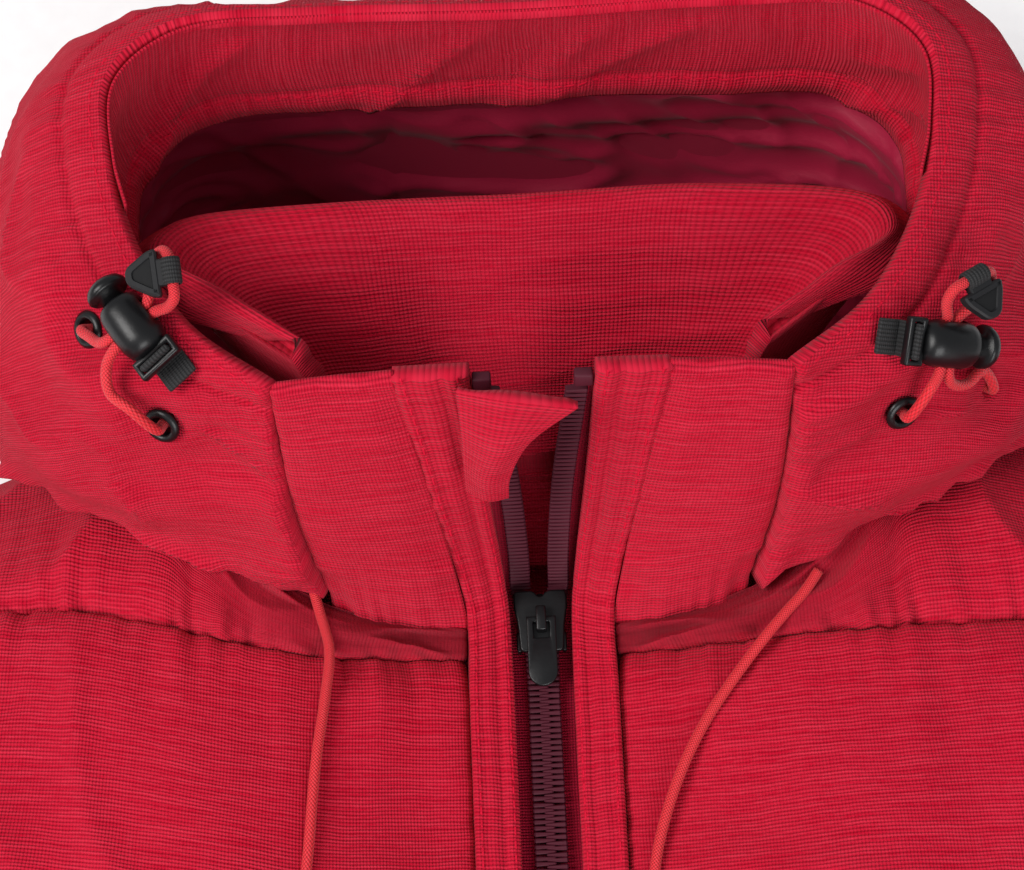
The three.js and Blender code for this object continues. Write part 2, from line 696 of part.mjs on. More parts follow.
function addHood() {
  const panels = {
    hood_side_right: [0, hoodSeam - 0.002, 12],
    hood_back: [hoodSeam + 0.002, 1 - hoodSeam - 0.002, 5],
    hood_side_left: [1 - hoodSeam + 0.002, 1, 12],
  };
  for (const [name, [from, to, along]] of Object.entries(panels)) {
    const wall = paddedSheet(patch(hoodWall, 0, 1, from, to), 6, along, hoodThickness, { facing: -1 });
    const holes = eyelets.filter((eyelet) => eyelet.v > from && eyelet.v < to).map(eyeletHoleAt);
    addPart(name, holes.length ? cut(wall, ...holes) : wall, red);
  }
  addPart('hood_brim', paddedSheet(brimFacing, 3, 18, facingThickness, { facing: -1 }), red);
  addPart('hood_lining', paddedSheet(hoodLining, 8, 14, liningThickness, { facing: 1 }), wine);
  addPart('hood_crown', paddedSheet(patch(hoodCrown, 0.02, 1, 0, 1), 4, 16, 5.5, { facing: 1 }), red);
  for (const { name, point, normal } of eyelets) {
    const ring = addPart(`eyelet_${name}`, eyeletGeometry(), black);
    ring.position.copy(point);
    ring.quaternion.copy(alignedTo(normal));
  }
}

// ---- Cord locks, pull tabs and elastic cords on the hood ----

// Each lock lies on the hood's rim. heading is where its barrel points, from button to webbing, and
// loopSide is the side of the barrel, along its own Y, where the cord's loop and the pull tab are.
const lockPlaces = {
  right: { x: -84.5, y: 18, heading: vec(12, -18, 0), loopSide: 1 },
  left: { x: 88, y: 10, heading: vec(-1, 0.2, 0), loopSide: -1 },
};

// A frame standing on the hood: X along the heading, Z out of the cloth, the barrel's middle above the spot.
function lockFrame({ x, y, heading }) {
  const { point, normal } = spotOn(hoodWall, x, y);
  const along = heading.clone().projectOnPlane(normal).normalize();
  const across = normal.clone().cross(along);
  const frame = new THREE.Matrix4().makeBasis(along, across, normal);
  const origin = point.clone().addScaledVector(normal, lock.radius + lock.lift);
  return frame.setPosition(origin.addScaledVector(along, -lock.length / 2));
}

function barrelGeometry() {
  const { radius, length, bore, depth } = lock;
  const profile = points2d([
    [0, depth], [bore, depth], [bore, 0], [radius - 0.4, 0], [radius, 0.7], [radius, length - 1.5],
    [radius - 0.9, length], [0, length],
  ]);
  const shell = new THREE.LatheGeometry(profile, 16).rotateZ(-Math.PI / 2);
  const half = cordWindow.height / 2;
  const window = block(cordWindow.from, cordWindow.to, -9, 9, -half, half);
  const slot = webbing.width / 2 + slideGap;
  const lug = cut(
    block(length - 0.6, length + 4, -slot - 1.1, slot + 1.1, -1.2, 1.2),
    block(length + 0.9, length + 0.9 + webbing.thickness + 2 * slideGap, -slot, slot, -3, 3),
  );
  return cut(join(shell, lug), window);
}

function buttonGeometry() {
  const capFace = -lock.travel - touchGap;
  const stem = lock.bore - slideGap;
  const { radius, length } = buttonCap;
  const end = lock.depth - lock.travel - 1;
  const profile = points2d([
    [0, capFace - length], [radius * 0.7, capFace - length], [radius, capFace - length + 1.3],
    [radius, capFace], [stem, capFace], [stem, end], [0, end],
  ]);
  const body = new THREE.LatheGeometry(profile, 16).rotateZ(-Math.PI / 2);
  const half = cordWindow.height / 2;
  return cut(body, block(cordWindow.from - lock.travel - 0.2, end + 1, -9, 9, -half, half));
}

// The spring is drawn pressed flat against the bottom of its bore.
function springGeometry() {
  const wire = 0.3;
  const ring = [0, 1, 2, 3, 4, 5, 6].map((i) => {
    const angle = i * Math.PI / 3;
    return new THREE.Vector2(lock.bore - slideGap - wire + wire * Math.cos(angle), wire * Math.sin(angle));
  });
  const coil = new THREE.LatheGeometry(ring, 14).rotateZ(-Math.PI / 2);
  return closedBody(coil.translate(lock.depth - wire - 0.1, 0, 0));
}

function webbingGeometry() {
  const x = lock.length + 0.9 + slideGap;
  const floor = -lock.radius - lock.lift + touchGap;
  const { thickness, foot, width } = webbing;
  const outline = points2d([
    [x, 2.2], [x + thickness, 2.2], [x + thickness, floor + thickness],
    [x + foot, floor + thickness], [x + foot, floor], [x, floor],
  ]);
  const strap = new THREE.ExtrudeGeometry(new THREE.Shape(outline), { depth: width, bevelEnabled: false });
  return closedBody(strap.translate(0, 0, -width / 2).rotateX(Math.PI / 2));
}

// A rounded triangle with a band across its wide end, which the cord passes through.
function pullTabGeometry() {
  const { width, length, thickness, band, bandWidth, base } = pullTab;
  const half = width / 2;
  const shape = new THREE.Shape();
  shape.moveTo(-half + 1.5, base);
  shape.lineTo(half - 1.5, base);
  shape.quadraticCurveTo(half + 0.3, base, half - 0.6, base + 2);
  shape.lineTo(1.8, length - 0.8);
  shape.quadraticCurveTo(0, length + 0.8, -1.8, length - 0.8);
  shape.lineTo(-half + 0.6, base + 2);
  shape.quadraticCurveTo(-half - 0.3, base, -half + 1.5, base);
  const plate = new THREE.ExtrudeGeometry(shape, { depth: thickness, bevelEnabled: false, curveSegments: 5 });
  const tongue = block(-bandWidth / 2, bandWidth / 2, 0, base + 1, -thickness / 2, thickness / 2);
  const loop = new THREE.CylinderGeometry(band / 2, band / 2, bandWidth, 14).rotateZ(Math.PI / 2);
  const bore = cordDiameter / 2 + slideGap;
  const hole = new THREE.CylinderGeometry(bore, bore, width * 2, 14).rotateZ(Math.PI / 2);
  return cut(join(plate.translate(0, 0, -thickness / 2), tongue, loop), hole);
}

const tabSeat = { x: 4.5, y: 15.5, z: 3.5, turn: 60, tilt: 17 };

// The elastic's loop through the tab's band, in the lock's frame, for a loop on the +Y side.
const loopRoute = [
  [7.3, -2, 0], [7.3, 5.5, 0], [9, 9.2, 1], [9.2, 12.2, 2.8], [6.9, 14.1, 3.5], [4.5, 15.5, 3.5],
  [2.1, 16.9, 3.5], [-0.6, 16.6, 2.6], [-1.6, 13.6, 1], [1, 9.4, 0.4], [4.7, 5.5, 0], [4.7, -2, 0],
];
// From the window to each eyelet, in the lock's frame.
const strandRoutes = {
  right: {
    lower: [[7.3, -6.5, 0], [8.6, -11, -1.2], [13, -14.4, -2.6], [18.6, -13.2, -3.2]],
    upper: [[4.7, -6.5, 0], [3, -9.2, -1.6], [0, -10.6, -3.2]],
  },
  left: {
    lower: [[7.3, 6.5, 0], [7.4, 9.3, -1.2]],
    upper: [[4.7, 6.5, 0], [2, 8.8, -1.4], [-3.5, 8.8, -2.8], [-8, 5.6, -3.8]],
  },
};

function eyeletNamed(name) {
  return eyelets.find((eyelet) => eyelet.name === name);
}

// Out of an eyelet: from inside the hood's wall to just above its ring.
function throughEyelet({ point, normal }) {
  return [-3, 0, 2.2].map((height) => point.clone().addScaledVector(normal, height));
}

function elasticRoute(side) {
  const place = lockPlaces[side];
  const frame = lockFrame(place);
  const toWorld = ([x, y, z]) => vec(x, y, z).applyMatrix4(frame);
  const loop = loopRoute.map(([x, y, z]) => toWorld([x, y * place.loopSide, z]));
  const lower = strandRoutes[side].lower.map(toWorld);
  const upper = strandRoutes[side].upper.map(toWorld);
  return [
    ...throughEyelet(eyeletNamed(`${side}_lower`)), ...lower.reverse(), ...loop, ...upper,
    ...throughEyelet(eyeletNamed(`${side}_upper`)).reverse(),
  ];
}

function addLocks() {
  onBothSides((side) => {
    const { loopSide } = lockPlaces[side];
    const group = new THREE.Group();
    group.applyMatrix4(lockFrame(lockPlaces[side]));
    jacket.add(group);
    addPart(`lock_barrel_${side}`, barrelGeometry(), black, group);
    addPart(`lock_button_${side}`, buttonGeometry(), black, group);
    addPart(`lock_spring_${side}`, springGeometry(), steel, group);
    addPart(`lock_webbing_${side}`, webbingGeometry(), black, group);
    const tab = addPart(`pull_tab_${side}`, pullTabGeometry(), black, group);
    tab.position.set(tabSeat.x, tabSeat.y * loopSide, tabSeat.z);
    const turn = loopSide > 0 ? 90 + tabSeat.turn : 90 - tabSeat.turn;
    tab.rotation.set(tabSeat.tilt * Math.PI / 180, 0, turn * Math.PI / 180, 'ZYX');
    addPart(`elastic_cord_${side}`, cordAlong(elasticRoute(side), cordDiameter, 48), brightRed);
  });
}

// ---- Drawcords that lie on the chest ----

// Places in plan, from under the hood's edge to the cord's end. Each lies on the front's surface.
const drawcordPlans = {
  right: [
    [-52, -32.5], [-50, -41], [-51, -52], [-53.5, -68], [-56, -93],
    [-60, -120], [-62, -146], [-59, -172], [-52, -194],
  ],
  left: [
    [62, -33], [53.5, -41.5], [43.5, -53], [35.5, -64], [28.5, -78],
    [23.5, -95], [22.8, -115], [28, -137], [37, -158], [46, -180],
  ],
};

function onFront([x, y], height) {
  return vec(x, y, frontHeight(x, y) + height);
}

function addDrawcords() {
  onBothSides((side) => {
    const plan = drawcordPlans[side];
    const lie = cordDiameter / 2 + touchGap;
    const route = plan.map((place) => onFront(place, lie));
    addPart(`drawcord_${side}`, cordAlong(route, cordDiameter, 36), brightRed);
    const last = route[route.length - 1];
    const along = last.clone().sub(route[route.length - 2]).normalize();
    const { radius, length } = drawcordEnd;
    const profile = points2d([
      [0, touchGap], [radius - 0.5, touchGap], [radius, touchGap + 1], [radius, length - 1.5],
      [radius - 0.8, length], [0, length],
    ]);
    const end = addPart(`cord_end_${side}`, closedBody(new THREE.LatheGeometry(profile, 12)), black);
    end.quaternion.copy(alignedTo(along));
    end.position.copy(last).add(vec(0, 0, radius - cordDiameter / 2));
  });
}

// ---- Hand pockets ----

function pocketFrame(sign) {
  const { x, y, lean } = pocketZip;
  const angle = lean * Math.PI / 180;
  const half = pocketZip.length / 2;
  const along = new THREE.Vector2(-Math.sin(angle), Math.cos(angle));
  const ends = [-half, half].map((s) => onFront([x + along.x * s, y + along.y * s], touchGap));
  const up = ends[1].clone().sub(ends[0]).normalize();
  const across = vec(up.y, -up.x, 0).normalize();
  const frame = new THREE.Matrix4().makeBasis(across, up, across.clone().cross(up)).setPosition(ends[0]);
  return sign > 0 ? frame : new THREE.Matrix4().makeScale(-1, 1, 1).multiply(frame).multiply(
    new THREE.Matrix4().makeScale(-1, 1, 1));
}

function pocketSliderGeometry() {
  const { width, length, height } = pocketSlider;
  const floor = pocketZip.thickness + slideGap;
  const hole = bail.length / 2 - bail.foot;
  const base = block(-width / 2, width / 2, -length / 2, length / 2, floor, floor + height / 2);
  const arch = block(-bail.width / 2, bail.width / 2, -bail.length / 2, bail.length / 2,
    floor + height / 2 - 0.3, floor + height / 2 + bail.hole + bail.top);
  const eye = block(-bail.width, bail.width, -hole, hole, floor + height / 2, floor + height / 2 + bail.hole);
  return cut(join(base, arch), eye);
}

function addPockets() {
  onBothSides((side, place, sign) => {
    const group = new THREE.Group();
    group.applyMatrix4(pocketFrame(sign));
    jacket.add(group);
    const { width, length, thickness } = pocketZip;
    const strip = block(-width / 2, width / 2, 0, length, touchGap, thickness);
    addPart(`pocket_zip_${side}`, closedBody(strip), plum, group);
    const top = length - pocketSlider.length / 2 - 4;
    const slider = addPart(`pocket_slider_${side}`, pocketSliderGeometry(), black, group);
    slider.position.y = top;
    const eyeFloor = thickness + slideGap + pocketSlider.height / 2 + 0.45;
    const puller = addPart(`pocket_puller_${side}`, pullerGeometry(pocketPuller, eyeFloor), black, group);
    puller.position.y = top;
  });
}

addBody();
addSleeves();
addZip();
addHood();
addLocks();
addDrawcords();
addPockets();

// The middle of the jacket's outline on the ground is the origin.
const outline = new THREE.Box3().setFromObject(jacket);
const middle = outline.getCenter(vec(0, 0, 0));
jacket.position.set(-middle.x, -middle.y, -outline.min.z);

export default jacket;
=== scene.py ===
import math
import bpy
import bmesh
from mathutils import Matrix, Vector, noise


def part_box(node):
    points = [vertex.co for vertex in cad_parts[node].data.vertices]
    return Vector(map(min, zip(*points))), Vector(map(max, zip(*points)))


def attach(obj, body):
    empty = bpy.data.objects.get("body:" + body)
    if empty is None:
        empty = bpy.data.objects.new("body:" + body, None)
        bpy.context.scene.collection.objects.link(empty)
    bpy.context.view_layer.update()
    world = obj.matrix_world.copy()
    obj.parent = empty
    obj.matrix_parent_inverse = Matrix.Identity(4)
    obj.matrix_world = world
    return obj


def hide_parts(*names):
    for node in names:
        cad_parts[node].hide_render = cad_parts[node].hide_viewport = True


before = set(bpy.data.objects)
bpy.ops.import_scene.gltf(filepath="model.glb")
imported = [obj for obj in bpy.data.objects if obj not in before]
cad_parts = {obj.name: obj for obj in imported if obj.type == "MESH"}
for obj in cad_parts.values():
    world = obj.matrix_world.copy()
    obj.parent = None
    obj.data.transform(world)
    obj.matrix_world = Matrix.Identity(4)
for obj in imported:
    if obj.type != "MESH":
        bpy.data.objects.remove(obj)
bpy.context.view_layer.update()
bpy.context.scene.view_settings.view_transform = "Standard"

mm = 0.001
bodyLength = 640.0
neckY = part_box("hem_band")[0][1] + bodyLength * mm  # the neck seam, one body length above the hem


def at(x, y, z):
    return Vector((x * mm, neckY + y * mm, z * mm))


camera = {"target": (-5, 0, 120), "distance": 588, "height": 70, "roll": 2.5, "lens": 90, "sensor": 36}


def addCamera():
    lift, roll = math.radians(camera["height"]), math.radians(camera["roll"])
    ahead = Vector((0, math.cos(lift), -math.sin(lift)))
    level, up = Vector((1, 0, 0)), Vector((0, math.sin(lift), math.cos(lift)))
    right = level * math.cos(roll) - up * math.sin(roll)
    upright = level * math.sin(roll) + up * math.cos(roll)
    data = bpy.data.cameras.new("camera")
    data.lens, data.sensor_width, data.clip_end = camera["lens"], camera["sensor"], 20
    eye = bpy.data.objects.new("camera", data)
    place = Matrix((right, upright, -ahead)).transposed().to_4x4()
    place.translation = at(*camera["target"]) - ahead * camera["distance"] * mm
    eye.matrix_world = place
    bpy.context.collection.objects.link(eye)
    bpy.context.scene.camera = eye


addCamera()
print("camera done")


# Curves and surfaces go through chosen points, in mm from the middle of the neck seam.
def curvePoint(points, t):
    last = len(points) - 1
    place = min(max(t, 0), 1) * last
    k = min(int(place), last - 1)
    w = place - k
    b, c = points[k], points[k + 1]
    a = points[k - 1] if k > 0 else b * 2 - c
    d = points[k + 2] if k + 2 <= last else c * 2 - b
    ta, tb, tc = [max((q - p).length, 1e-4) ** 0.5 for p, q in ((a, b), (b, c), (c, d))]
    m1 = ((b - a) / ta - (c - a) / (ta + tb) + (c - b) / tb) * tb
    m2 = ((c - b) / tb - (d - b) / (tb + tc) + (d - c) / tc) * tb
    return b + m1 * w + (c * 3 - b * 3 - m1 * 2 - m2) * w * w + (b * 2 - c * 2 + m1 + m2) * w ** 3


def vectors(points):
    return [Vector(p) for p in points]


def bothWays(half):
    return vectors([(-x, y, z) for x, y, z in half[:0:-1]] + list(half))


def overGuides(guides):
    kept = {}

    def surface(u, v):
        if v not in kept:
            kept[v] = [curvePoint(g, v) for g in guides]
        return curvePoint(kept[v], u)
    return surface


def ease(t):
    t = min(max(t, 0), 1)
    return t * t * (3 - 2 * t)


def mix(a, b, t):
    return a + (b - a) * t


def roundEdge(t):
    s = 1 - min(max(t, 0), 1)
    return math.sqrt(1 - s * s)


def bump(distance, width):
    return math.exp(-(distance / width) ** 2)


def drift(a, b, size, seed):  # soft unevenness, -1 to 1
    return noise.noise(Vector((a / size, b / size, seed * 7.3)))


def creases(a, b, size, seed):  # sharp-topped folds, 0 to 1
    return (1 - abs(noise.noise(Vector((a / size, b / size, seed * 3.1)))) * 2) ** 3


def puckers(along, away, spacing, reach, seed):  # little gathers that run out from a seam
    bend = along + 0.35 * spacing * drift(along, away, spacing * 2.5, seed)
    wave = noise.noise(Vector((bend / spacing * 1.7, away / (reach * 3), seed)))
    return wave * math.exp(-max(away, 0) / reach)


def newGroup(name, inputs, outputs):
    group = bpy.data.node_groups.new(name, "ShaderNodeTree")
    for label, kind, value in inputs:
        socket = group.interface.new_socket(name=label, in_out="INPUT", socket_type=kind)
        if value is not None:
            socket.default_value = value
    for label, kind in outputs:
        group.interface.new_socket(name=label, in_out="OUTPUT", socket_type=kind)
    return group


def nodeTools(tree):
    def node(kind, inputs=None, **settings):
        made = tree.nodes.new(kind)
        for key, value in settings.items():
            setattr(made, key, value)
        for key, value in (inputs or {}).items():
            if isinstance(value, bpy.types.NodeSocket):
                tree.links.new(value, made.inputs[key])
            else:
                made.inputs[key].default_value = value
        return made

    def maths(operation, a, b=0.0, c=0.0, clamp=False):
        made = node("ShaderNodeMath", {0: a, 1: b, 2: c}, operation=operation)
        made.use_clamp = clamp
        return made.outputs[0]
    return node, maths


# Red cloth woven from uneven threads: pale and deeper-toned streaks run along it, with a fine grid of gaps painted
# darker, as shade between the threads.
weaving = {"wander": 0.035, "sway": (1.6, 2.6), "slubSize": (0.045, 1.0), "slubMiddle": 0.47,
           "slubStrength": 2.3, "slubDepth": 0.55, "fleckSize": (0.5, 1.1), "fleckStrength": 1.0,
           "fleckDrop": 0.15, "gapShadeStrength": 2.4, "threadHeights": (0.35, 0.5), "paleHeight": 0.35}


def weaveGroup():
    group = newGroup("slubWeave", [
        ("Vector", "NodeSocketVector", None), ("Thread", "NodeSocketFloat", 0.9),
        ("Slub", "NodeSocketFloat", 1.0)],
        [("Light", "NodeSocketFloat"), ("GapShadeAndDarkSlubs", "NodeSocketFloat"), ("Height", "NodeSocketFloat")])
    node, maths = nodeTools(group)
    inp, out = node("NodeGroupInput"), node("NodeGroupOutput")
    wander = node("ShaderNodeTexNoise", {"Vector": inp.outputs[0], "Scale": weaving["wander"], "Detail": 2.0})
    split = node("ShaderNodeSeparateXYZ", {0: inp.outputs[0]})
    x = maths("MULTIPLY_ADD", wander.outputs[0], weaving["sway"][0], split.outputs[0])
    y = maths("MULTIPLY_ADD", wander.outputs[0], weaving["sway"][1], split.outputs[1])
    turnX = maths("MULTIPLY", maths("DIVIDE", x, inp.outputs[1]), math.pi)
    turnY = maths("MULTIPLY", maths("DIVIDE", y, inp.outputs[1]), math.pi)
    warp = maths("ABSOLUTE", maths("SINE", turnX))
    weft = maths("ABSOLUTE", maths("SINE", turnY))

    def stretched(size, detail, roughness=0.5):
        wide, tall = maths("MULTIPLY", x, size[0]), maths("MULTIPLY", y, size[1])
        place = node("ShaderNodeCombineXYZ", {0: wide, 1: tall})
        return node("ShaderNodeTexNoise", {"Vector": place.outputs[0], "Scale": 1.0, "Detail": detail,
                                           "Roughness": roughness}).outputs[0]
    streak = stretched(weaving["slubSize"], 3.0, 0.65)
    fleck = stretched(weaving["fleckSize"], 2.0)
    lines = maths("MULTIPLY", maths("SUBTRACT", streak, weaving["slubMiddle"]), weaving["slubStrength"])
    lines = maths("MULTIPLY", lines, inp.outputs[2])
    threads = maths("MULTIPLY_ADD", fleck, weaving["fleckStrength"], -weaving["fleckDrop"])
    # Painted shade: the pale streaks fade where the weft dips between threads.
    light = maths("MULTIPLY", maths("ADD", lines, threads), maths("MULTIPLY_ADD", weft, 0.7, 0.3), clamp=True)
    # Painted shade: the gaps between the threads are darkened; the thinner slubs add their own deeper tone.
    gap = maths("SUBTRACT", 1.0, maths("MAXIMUM", warp, weft))
    sunk = maths("MULTIPLY", maths("SUBTRACT", 0.5, streak), weaving["slubDepth"])
    gapShadeAndDarkSlubs = maths("MULTIPLY_ADD", gap, weaving["gapShadeStrength"], sunk, clamp=True)
    warpHeight, weftHeight = weaving["threadHeights"]
    height = maths("ADD", maths("MULTIPLY", weft, weftHeight), maths("MULTIPLY", warp, warpHeight))
    height = maths("MULTIPLY_ADD", light, weaving["paleHeight"], height)
    for k, value in enumerate((light, gapShadeAndDarkSlubs, height)):
        group.links.new(value, out.inputs[k])
    return group


weave = weaveGroup()


def newMaterial(name, roughness, sheen=0.0, metallic=0.0):
    material = bpy.data.materials.new(name)
    material.use_nodes = True
    tree = material.node_tree
    shader = tree.nodes["Principled BSDF"]
    shader.inputs["Roughness"].default_value = roughness
    shader.inputs["Metallic"].default_value = metallic
    shader.inputs["Sheen Weight"].default_value = sheen
    shader.inputs["Sheen Roughness"].default_value = 0.45
    node, maths = nodeTools(tree)
    return material, tree, shader, node, maths


def mixColours(node, factor, a, b):
    made = node("ShaderNodeMix", data_type="RGBA")
    for socket, value in zip((made.inputs[0], made.inputs[6], made.inputs[7]), (factor, a, b)):
        if isinstance(value, bpy.types.NodeSocket):
            made.id_data.links.new(value, socket)
        else:
            socket.default_value = value
    return made.outputs[2]


redCloth = {"thread": 0.88, "base": (0.44, 0.002, 0.02, 1), "pale": (0.64, 0.035, 0.07, 1),
            "deep": (0.26, 0.001, 0.011, 1), "slub": 1.0}
tapeWeave = {"thread": 0.7, "base": (0.3, 0.004, 0.02, 1), "pale": (0.42, 0.01, 0.04, 1),
             "deep": (0.12, 0.001, 0.008, 1), "slub": 0.4}


# Two-tone red cloth. The weave follows each piece's own "cloth" map, which is in mm, as its threads are.
def shellCloth(name, thread, base, pale, deep, slub):
    material, tree, shader, node, maths = newMaterial(name, 0.88, sheen=0.06)
    shader.inputs["Sheen Tint"].default_value = (1, 0.55, 0.6, 1)
    shader.inputs["Specular IOR Level"].default_value = 0.1
    cloth = node("ShaderNodeUVMap", uv_map="cloth")
    woven = node("ShaderNodeGroup", {}, node_tree=weave)
    tree.links.new(cloth.outputs[0], woven.inputs[0])
    woven.inputs[1].default_value = thread
    woven.inputs[2].default_value = slub
    # Painted shade in the gaps of the weave, with the thinner slubs' deeper tone: both pull the colour towards
    # deep.
    colour = mixColours(node, maths("MULTIPLY", woven.outputs[1], 0.7), base, deep)
    colour = mixColours(node, maths("MULTIPLY", woven.outputs[0], 0.6), colour, pale)
    place = node("ShaderNodeTexCoord")
    patch = node("ShaderNodeTexNoise", {"Vector": place.outputs[3], "Scale": 14.0, "Detail": 3.0})
    colour = mixColours(node, maths("MULTIPLY", maths("SUBTRACT", patch.outputs[0], 0.4), 0.5, clamp=True),
                        colour, base)
    tree.links.new(colour, shader.inputs["Base Color"])
    relief = node("ShaderNodeBump", {"Height": woven.outputs[2], "Distance": 0.0005, "Strength": 0.9})
    tree.links.new(relief.outputs[0], shader.inputs["Normal"])
    return material


satin = {"deep": (0.26, 0.006, 0.03, 1), "pale": (0.38, 0.014, 0.05, 1), "roughness": 0.42, "specular": 0.25}


def satinLining():
    material, tree, shader, node, maths = newMaterial("wine lining", satin["roughness"], sheen=0.05)
    shader.inputs["Specular IOR Level"].default_value = satin["specular"]
    cloth = node("ShaderNodeUVMap", uv_map="cloth")
    fine = node("ShaderNodeMapping", {"Vector": cloth.outputs[0], "Scale": (0.6, 2.4, 1)})
    grain = node("ShaderNodeTexNoise", {"Vector": fine.outputs[0], "Scale": 1.5, "Detail": 3.0})
    shade = mixColours(node, grain.outputs[0], satin["deep"], satin["pale"])
    tree.links.new(shade, shader.inputs["Base Color"])
    gloss = maths("MULTIPLY_ADD", grain.outputs[0], 0.25, satin["roughness"])
    tree.links.new(gloss, shader.inputs["Roughness"])
    relief = node("ShaderNodeBump", {"Height": grain.outputs[0], "Distance": 0.0001, "Strength": 0.5})
    tree.links.new(relief.outputs[0], shader.inputs["Normal"])
    return material


def moulded(name, colour, roughness, grainSize=900.0, grainDepth=0.00006, shine=0.3):
    material, tree, shader, node, maths = newMaterial(name, roughness)
    shader.inputs["Specular IOR Level"].default_value = shine
    place = node("ShaderNodeTexCoord")
    grain = node("ShaderNodeTexNoise", {"Vector": place.outputs[3], "Scale": grainSize, "Detail": 2.0})
    worn = node("ShaderNodeTexNoise", {"Vector": place.outputs[3], "Scale": 160.0, "Detail": 3.0})
    paler = tuple(min(1, c * 1.5 + 0.002) for c in colour[:3]) + (1,)
    tree.links.new(mixColours(node, maths("MULTIPLY", worn.outputs[0], 0.6), colour, paler),
                   shader.inputs["Base Color"])
    tree.links.new(maths("MULTIPLY_ADD", worn.outputs[0], 0.2, roughness - 0.1), shader.inputs["Roughness"])
    relief = node("ShaderNodeBump", {"Height": grain.outputs[0], "Distance": grainDepth, "Strength": 0.6})
    tree.links.new(relief.outputs[0], shader.inputs["Normal"])
    return material


# Braid: two sets of threads that cross as they wind along the cord; painted shade darkens the grooves between them.
def braided(name, colour, pale, pitch):
    material, tree, shader, node, maths = newMaterial(name, 0.6, sheen=0.1)
    cloth = node("ShaderNodeUVMap", uv_map="cloth")
    split = node("ShaderNodeSeparateXYZ", {0: cloth.outputs[0]})
    around = maths("MULTIPLY", split.outputs[0], 8.0 * math.pi)
    along = maths("MULTIPLY", split.outputs[1], math.pi / pitch)
    one = maths("ABSOLUTE", maths("SINE", maths("ADD", around, along)))
    other = maths("ABSOLUTE", maths("SINE", maths("SUBTRACT", around, along)))
    braid = maths("MULTIPLY", maths("ADD", one, other), 0.5)
    # Painted shade: the colour is deeper in the grooves of the braid and paler on its crowns.
    tree.links.new(mixColours(node, braid, colour, pale), shader.inputs["Base Color"])
    relief = node("ShaderNodeBump", {"Height": braid, "Distance": 0.00025, "Strength": 0.9})
    tree.links.new(relief.outputs[0], shader.inputs["Normal"])
    return material


def ribbed(name, colour, pale, pitch):
    material, tree, shader, node, maths = newMaterial(name, 0.8)
    cloth = node("ShaderNodeUVMap", uv_map="cloth")
    split = node("ShaderNodeSeparateXYZ", {0: cloth.outputs[0]})
    rib = maths("ABSOLUTE", maths("SINE", maths("MULTIPLY", split.outputs[0], math.pi / pitch)))
    cross = maths("ABSOLUTE", maths("SINE", maths("MULTIPLY", split.outputs[1], math.pi / (pitch * 0.6))))
    woven = maths("MULTIPLY_ADD", cross, 0.3, maths("MULTIPLY", rib, 0.7))
    # Painted shade: the colour is deeper in the grooves between the ribs and paler on their crowns.
    tree.links.new(mixColours(node, woven, colour, pale), shader.inputs["Base Color"])
    relief = node("ShaderNodeBump", {"Height": woven, "Distance": 0.0004, "Strength": 0.9})
    tree.links.new(relief.outputs[0], shader.inputs["Normal"])
    return material


shell = shellCloth("red shell", **redCloth)
tapeCloth = shellCloth("zip tape", **tapeWeave)
lining = satinLining()
plastic = moulded("satin black plastic", (0.003, 0.003, 0.0035, 1), 0.34)
rubber = moulded("black rubber", (0.006, 0.006, 0.007, 1), 0.6)
insetRubber = moulded("black rubber inset", (0.002, 0.002, 0.0025, 1), 0.75)
plumTeeth = moulded("plum zip teeth", (0.055, 0.006, 0.014, 1), 0.6, shine=0.2)
steel = moulded("spring steel", (0.5, 0.5, 0.5, 1), 0.3)
cordRed = braided("red braid", (0.28, 0.001, 0.005, 1), (0.66, 0.008, 0.02, 1), 0.8)
thread = moulded("red thread", (0.42, 0.004, 0.022, 1), 0.8, shine=0.1)
webbingBlack = ribbed("black webbing", (0.002, 0.002, 0.002, 1), (0.014, 0.014, 0.015, 1), 0.9)
print("materials done")


def finishPiece(bm, name, material, body="jacket", smooth=True, replaces=()):
    mesh = bpy.data.meshes.new(name)
    bm.to_mesh(mesh)
    bm.free()
    if smooth:
        mesh.polygons.foreach_set("use_smooth", [True] * len(mesh.polygons))
    piece = bpy.data.objects.new(name, mesh)
    for one in material if isinstance(material, (list, tuple)) else [material]:
        mesh.materials.append(one)
    bpy.context.collection.objects.link(piece)
    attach(piece, body)
    if replaces:
        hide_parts(*replaces)
    return piece


sewn = {}  # where each panel's outer face ends up, for the stitches
pressed = {"eyeletReach": 14, "flatWithin": 5, "flatFade": 6, "eyeletDepth": 3.2, "eyeletHole": 2.4,
           "holeFade": 1.2, "dentDepth": 2.6, "dentWidth": 7, "lowest": 0.1}


